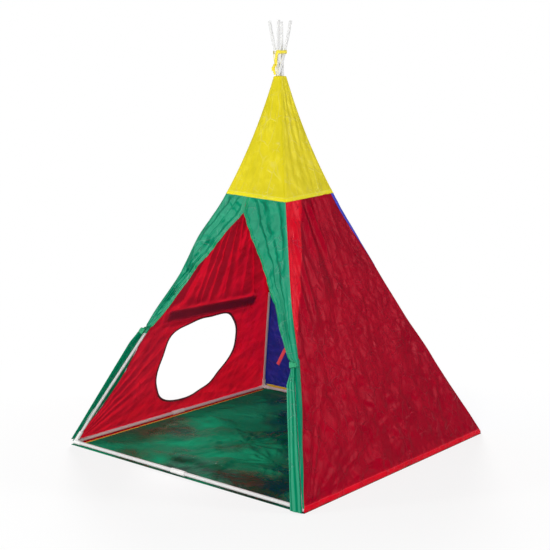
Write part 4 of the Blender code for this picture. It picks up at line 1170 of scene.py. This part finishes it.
# Each pole runs up through a cloth sleeve sewn into its corner, a narrow tube that is a
# little wrinkled. The front left one is green and the others are red.
SLEEVE_RADIUS = 0.0064
SLEEVE_TOP = 0.827
for turn, corner in enumerate(corners):
    # The green one reaches down to the door's tie.
    if corner == "front_left":
        finish, slot, lowest, length, area = green, "green_cloth", 0.377, 0.477, 0.0194
    else:
        finish, slot, lowest, length, area = red, "red_cloth", 0.445, 0.405, 0.0165
    heights = np.linspace(lowest, SLEEVE_TOP, 170)[:, None]
    angle = (2 * math.pi * np.arange(28) / 28)[None, :]
    line = -spread(heights)
    slack = 0.00030 * creases(angle * 0.0062, heights, 0.009, 171 + turn)
    radius = SLEEVE_RADIUS + np.clip(slack, -0.00012, 0.00022)
    x, y = line + radius * np.cos(angle), line + radius * np.sin(angle)
    points = stacked(*quarter_turns(x, y, turn), heights + AXIS_Z)
    from_end = np.minimum(heights - lowest, SLEEVE_TOP - heights)
    doubled = 1.0 - ease((from_end - 0.008) / 0.002)
    piece = sheet_mesh(
        f"sleeve_{corner}",
        points,
        stacked(angle * SLEEVE_RADIUS, heights * 1.06),
        stacked(angle * SLEEVE_RADIUS, from_end - 0.007),
        doubled,
        closed=True,
    )
    make_cloth(piece, finish, "tent", THIN_CLOTH)
    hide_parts(f"pole_sleeve_{corner}")

# The window's edge is bound with a strip of dark red cotton tape, folded over it so that
# about 7 mm of it lie on each face of the wall.
dark_tape = woven_tape("maroon_cotton_tape", "7a0a1c", "560612")
angles = 2 * math.pi * np.arange(220) / 220
# Its section, each point as a size against the window's own and a distance out of the wall.
section = ((1.034, -0.0009), (1.006, -0.0010), (0.998, 0.0006), (1.006, 0.0021), (1.034, 0.0020))
middle, up_middle, half_wide, half_high, squareness = WINDOW
rows = []
for size, proud in section:
    size = size + 0.004 * drift(angles * 2.4, 0.0, 181)
    x = squarish(np.cos(angles), 2 / squareness)
    z = squarish(np.sin(angles), 2 / squareness)
    size = size * window_outline(x, z)
    x, z = x * half_wide * size, z * half_high * size
    rows.append(on_cover(middle + x, up_middle + z, proud, 3))
points = np.array(rows)
mean_radius = 0.185
flat = stacked(np.linspace(0.0, 0.020, len(section))[:, None], angles * mean_radius)
piece = sheet_mesh("window_binding", points, flat, closed=True)
make_cloth(piece, dark_tape, "tent")

# The window's cover is sewn to the wall above it and rolled up outwards, seven turns of thin
# cloth that two tapes hold against the wall. The roll lifts about the seam.
lean = math.atan((spread(0.4375) - spread(0.4385)) / 0.001)
seam = np.array((-reach(0.438), 0.007, AXIS_Z + 0.438))
way_down = np.array((-math.sin(lean), 0.0, -math.cos(lean)))
way_out = np.array((-math.cos(lean), 0.0, math.sin(lean)))
roll_down, roll_out = 0.025, 0.0140  # the middle of the roll, down and out from the seam
roll_high, roll_deep, roll_half = 0.018, 0.012, 0.231  # half its height, depth and length
section = [(0.0, 0.0006), (0.0020, 0.0009), (0.0045, 0.0017), (0.0070, 0.0020)]
turns, steps = 7, 28
for step in range(turns * steps + 1):
    angle = 2 * math.pi * step / steps
    size = 1.0 - 0.80 * step / (turns * steps)
    high, deep = squarish(math.sin(angle), 0.55), squarish(math.cos(angle), 0.55)
    section.append((roll_down + roll_high * size * high, roll_out - roll_deep * size * deep))
section = np.array(section)
cut_length = np.concatenate([[0.0], np.cumsum(np.hypot(*np.diff(section, axis=0).T))])
columns = 84
place = np.linspace(-1.0, 1.0, columns)[None, :]
wound = np.clip((np.arange(len(section)) - 3) / (len(section) - 4), 0.0, 1.0)[:, None]
tape_places = {"front": -0.130, "back": 0.130}
nip = sum(np.exp(-(((place * roll_half - spot) / 0.022) ** 2)) for spot in tape_places.values())
round_roll = np.arctan2(section[:, 0] - roll_down, section[:, 1] - roll_out)[:, None]
shrink = 0.95 - 0.055 * np.abs(drift(place * 4.5, round_roll * 0.9 + 4.0, 191)) - 0.03 * nip
shrink = np.where(wound > 0.0, between(1.0, shrink, np.minimum(wound * turns * 2.0, 1.0)), 1.0)
# It is pressed flat against the wall on that side.
flat_side = (section[:, 1:] < roll_out) * 1.0
down, out = section[:, :1], section[:, 1:]
rolled_down = roll_down + (down - roll_down) * between(shrink, 0.985, flat_side)
rolled_out = roll_out + (out - roll_out) * between(shrink, 1.0, flat_side)
down, out = np.where(wound > 0.0, rolled_down, down), np.where(wound > 0.0, rolled_out, out)
end_drift = 0.0035 * drift(np.sign(place) * 3.0, wound * 9.0, 193) + 0.004 * wound
beside = place * (roll_half - np.abs(end_drift) * np.abs(place) ** 6)
wall_side = 0.001
points = seam + down[..., None] * way_down + (out + wall_side)[..., None] * way_out
points = points + stacked(0.0, beside, 0.0)
flat = stacked(place * roll_half, cut_length[:, None])
from_end = np.broadcast_to(roll_half * (1.0 - np.abs(place)), flat.shape[:2])
piece = sheet_mesh(
    "rolled_window_cover",
    points,
    flat,
    stacked(flat[..., 1], from_end - 0.008),
    1.0 - ease((from_end - 0.010) / 0.002),
)
make_cloth(piece, red, "window_flap", THIN_CLOTH)
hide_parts("window_flap")

for end_name, spot in tape_places.items():
    # Down behind the roll, under it, up its front and over its top, 0.86 of a turn.
    clear = 0.0013
    angles = 2 * math.pi * 0.86 * np.linspace(0.0, 1.0, 60)
    high = squarish(np.sin(angles), 0.58) * (roll_high + clear)
    deep = squarish(np.cos(angles), 0.58) * (roll_deep + clear)
    down = np.concatenate([[0.0056], roll_down + high])[:, None]
    out = np.concatenate([[roll_out - roll_deep - clear], roll_out - deep])[:, None]
    route = seam + down * way_down + (out + wall_side) * way_out
    across = 0.0095 * np.linspace(-1.0, 1.0, 9)
    pinched = 1.0 - 0.18 * np.exp(-(((np.arange(len(route)) - 26) / 9.0) ** 2))
    points = route[:, None] + stacked(0.0, spot + across * pinched[:, None], 0.0)
    flat = stacked(across, np.linspace(0.0, 0.083, len(route))[:, None])
    piece = sheet_mesh(f"window_tape_{end_name}", points, flat)
    make_cloth(piece, red_tape, "window_flap", TAPE)
    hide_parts(f"window_tie_{end_name}")

# The groundsheet is heavier coated cloth, dark green and glossy in places. It lies under the
# tubes, and inside them it still stands up in the smooth folds and star creases of its packing.
sheet_finish, tree, output = new_finish("coated_groundsheet_cloth")
flat = add_node(tree, "UVMap", uv_map="flat")
# Threads are 0.3 mm apart, drawn at 1.2 mm so that they show.
weave = plain_weave(tree, flat, 262.0, 0.5)
broad = add_node(
    tree, "TexNoise", {"Vector": flat, "Scale": 9.0, "Detail": 3.0, "Roughness": 0.5, "Distortion": 0.6}
)
clouds = add_node(tree, "TexNoise", {"Vector": flat, "Scale": 3.5, "Detail": 5.0, "Distortion": 0.8})
# It is painted a little paler towards the left, as painted light from that side, over the mottling of its
# colour.
leftwards = add_node(tree, "SeparateXYZ", {0: flat}, out="X")
mottle_and_painted_light = add_node(tree, "Math", {0: leftwards, 1: -0.20, 2: clouds}, operation="MULTIPLY_ADD")
tinge = add_node(tree, "MapRange", {"Value": mottle_and_painted_light, "From Min": 0.38, "From Max": 0.62})
base = add_node(
    tree, "Mix", {"Factor": tinge, "A": linear("05402f"), "B": linear("12966c")}, out=2, data_type="RGBA"
)
rough = add_node(
    tree, "MapRange", {"Value": mottle_and_painted_light, "From Min": 0.46, "From Max": 0.60, "To Min": 0.26, "To Max": 0.90}
)
threads = add_node(tree, "Bump", {"Height": weave, "Strength": 0.10, "Distance": 0.0001})
bumps = add_node(tree, "Bump", {"Height": broad, "Strength": 0.8, "Distance": 0.0180, "Normal": threads})
shader = add_node(
    tree,
    "BsdfPrincipled",
    {"Base Color": base, "Roughness": rough, "Normal": bumps, "IOR": 1.5, "Specular IOR Level": 0.12},
)
tree.links.new(shader, output.inputs["Surface"])
SHEET_THICK = 0.0007
SHEET_HALF = 0.5105  # half its width
LAST_ROW = 0.5085  # the last row of points before its edge
HEM_SEAM = 0.5047  # where its hem is sewn
HIGHEST_FOLD = 0.0150
places = np.concatenate([[-SHEET_HALF], np.linspace(-LAST_ROW, LAST_ROW, 216), [SHEET_HALF]])
x, y = np.meshgrid(places, places)
from_middle = np.maximum(np.abs(x), np.abs(y))
inside_tubes = 0.466 - from_middle
long_folds = 0.024 * creases(x * 0.6 + y * 0.3, y * 0.9 - x * 0.2, 0.105, 211)
star = 0.0
for middle_x, middle_y, wide, seed in (
    (-0.05, -0.12, 0.22, 221),
    (0.16, -0.22, 0.18, 223),
    (0.06, 0.10, 0.16, 227),
):
    far = np.hypot(x - middle_x, y - middle_y)
    rays = 0.034 * fans(x, y, middle_x, middle_y, 2.2, seed)
    star = star + rays * np.exp(-((far / wide) ** 2)) * ease(far / 0.02)
small = 0.008 * creases(x, y, 0.045, 231) * ease((0.34 - np.hypot(x, y + 0.08)) / 0.2)
rise = long_folds + star + small - 0.0025
# It lies on the ground, flat under the tubes, and no fold is higher than HIGHEST_FOLD.
rise = (rise + np.sqrt(rise**2 + 0.0012**2)) / 2 * ease(inside_tubes / 0.09)
rise = HIGHEST_FOLD * (1.0 - np.exp(-rise / HIGHEST_FOLD))
keep = (np.abs(x) < SHEET_HALF) | (np.abs(y) < SHEET_HALF)  # its four corners are cut off
points = stacked(x, y, 0.0004 + rise)
hem = stacked(x + y, HEM_SEAM - from_middle)
piece = sheet_mesh("groundsheet_cloth", points, stacked(x, y), hem, keep=keep)
make_cloth(piece, sheet_finish, "tent", SHEET_THICK)
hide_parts("groundsheet")

# A yellow tape edges the groundsheet on the left and right, just inside the tubes, and stands
# up behind the back tube. The red hems of the side walls are turned in under the tubes to it.
# Each has its outer and inner edge, its start and end, and the heights of its two edges.
legs = (
    ("left", yellow_tape, (-0.4890, -0.4795), (-0.474, 0.484), (0.0014, 0.0014), 241),
    ("right", yellow_tape, (0.4890, 0.4795), (-0.474, 0.484), (0.0014, 0.0014), 243),
    ("back", yellow_tape, (0.5072, 0.5080), (-0.486, 0.486), (0.0016, 0.0235), 245),
    ("left_hem", red, (-0.5085, -0.4870), (-0.484, 0.490), (0.0023, 0.0023), 247),
    ("right_hem", red, (0.5085, 0.4870), (-0.484, 0.490), (0.0023, 0.0023), 249),
)
for leg_name, finish, (edge, inner_edge), (start, end), (low, high), seed in legs:
    length = np.linspace(start, end, 160)[:, None]
    across = np.linspace(0.0, 1.0, 7)[None, :]
    wander = 0.0010 * drift(length / 0.09, 0.5, seed)
    side_place = between(edge, inner_edge, across) + wander * across * np.sign(inner_edge - edge)
    lift = between(low, high, across) + 0.0002 * drift(length / 0.03, across * 1.5, seed + 1)
    if leg_name == "back":
        lift = lift + 0.0020 * drift(length / 0.12, 0.2, seed + 2) * across
        # It leans in against the wall.
        points = stacked(length, reach(lift - AXIS_Z) - 0.0022, lift)
    else:
        # The others run a little further in at the front than at the back.
        drawn = np.sign(edge) * (0.0020 if finish is red else 0.0060)
        drawn = drawn * (length - start) / (end - start) * across
        points = stacked(side_place + drawn, length, lift)
    flat = stacked(across * abs(inner_edge - edge + high - low), length)
    piece = sheet_mesh(f"edge_tape_{leg_name}", points, flat, doubled=1.0 * (finish is red))
    make_cloth(piece, finish, "tent")
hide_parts("groundsheet_binding")

# The ribbon goes round the poles above their crossing. Both its legs come down to a knot in
# front of them, and its ends hang from there.
start = math.radians(250)  # the knot's side, a little to the left of straight in front
angles = start + 2 * math.pi * np.linspace(0.0, 1.0, 121)
share = (angles - start) / (2 * math.pi)
climb = ease(share / 0.11) * ease((1.0 - share) / 0.11)
radius = 0.0176 + 0.0052 * climb
outwards = stacked(np.cos(angles), np.sin(angles), 0.0)
route = outwards * radius[:, None]
route[:, 2] = 1.2850 + 0.0430 * climb + 0.0010 * np.sin(3 * angles)
ways = np.cross(outwards, np.gradient(route, axis=0))
piece = tape_mesh("ribbon_round_poles", route, ways, 0.010, 251)
make_cloth(piece, yellow_tape, "tent", TAPE)
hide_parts("top_ribbon")
knot_place = Vector((0.0215 * math.cos(start), 0.0215 * math.sin(start), 1.2830))
facing = Matrix.Rotation(start + math.pi / 2, 3, "Z") @ Matrix.Rotation(math.pi / 2, 3, "X")
tape_knot("ribbon_knot", knot_place, 0.0072, facing, yellow_tape)
for end, sweep in enumerate(((0.006, -0.004, -0.030), (-0.004, -0.005, -0.017))):
    middle_step = knot_place + Vector(sweep) * 0.45 + Vector((-0.001, -0.003, 0.002))
    route = smooth_route([knot_place, middle_step, knot_place + Vector(sweep)], 20)
    ways = [(0.94, 0.30 * math.sin(i / 6.0 + end), 0.12) for i in range(20)]
    piece = tape_mesh(f"ribbon_end_{end + 1}", route, ways, 0.009, 253 + end)
    make_cloth(piece, yellow_tape, "tent", TAPE)
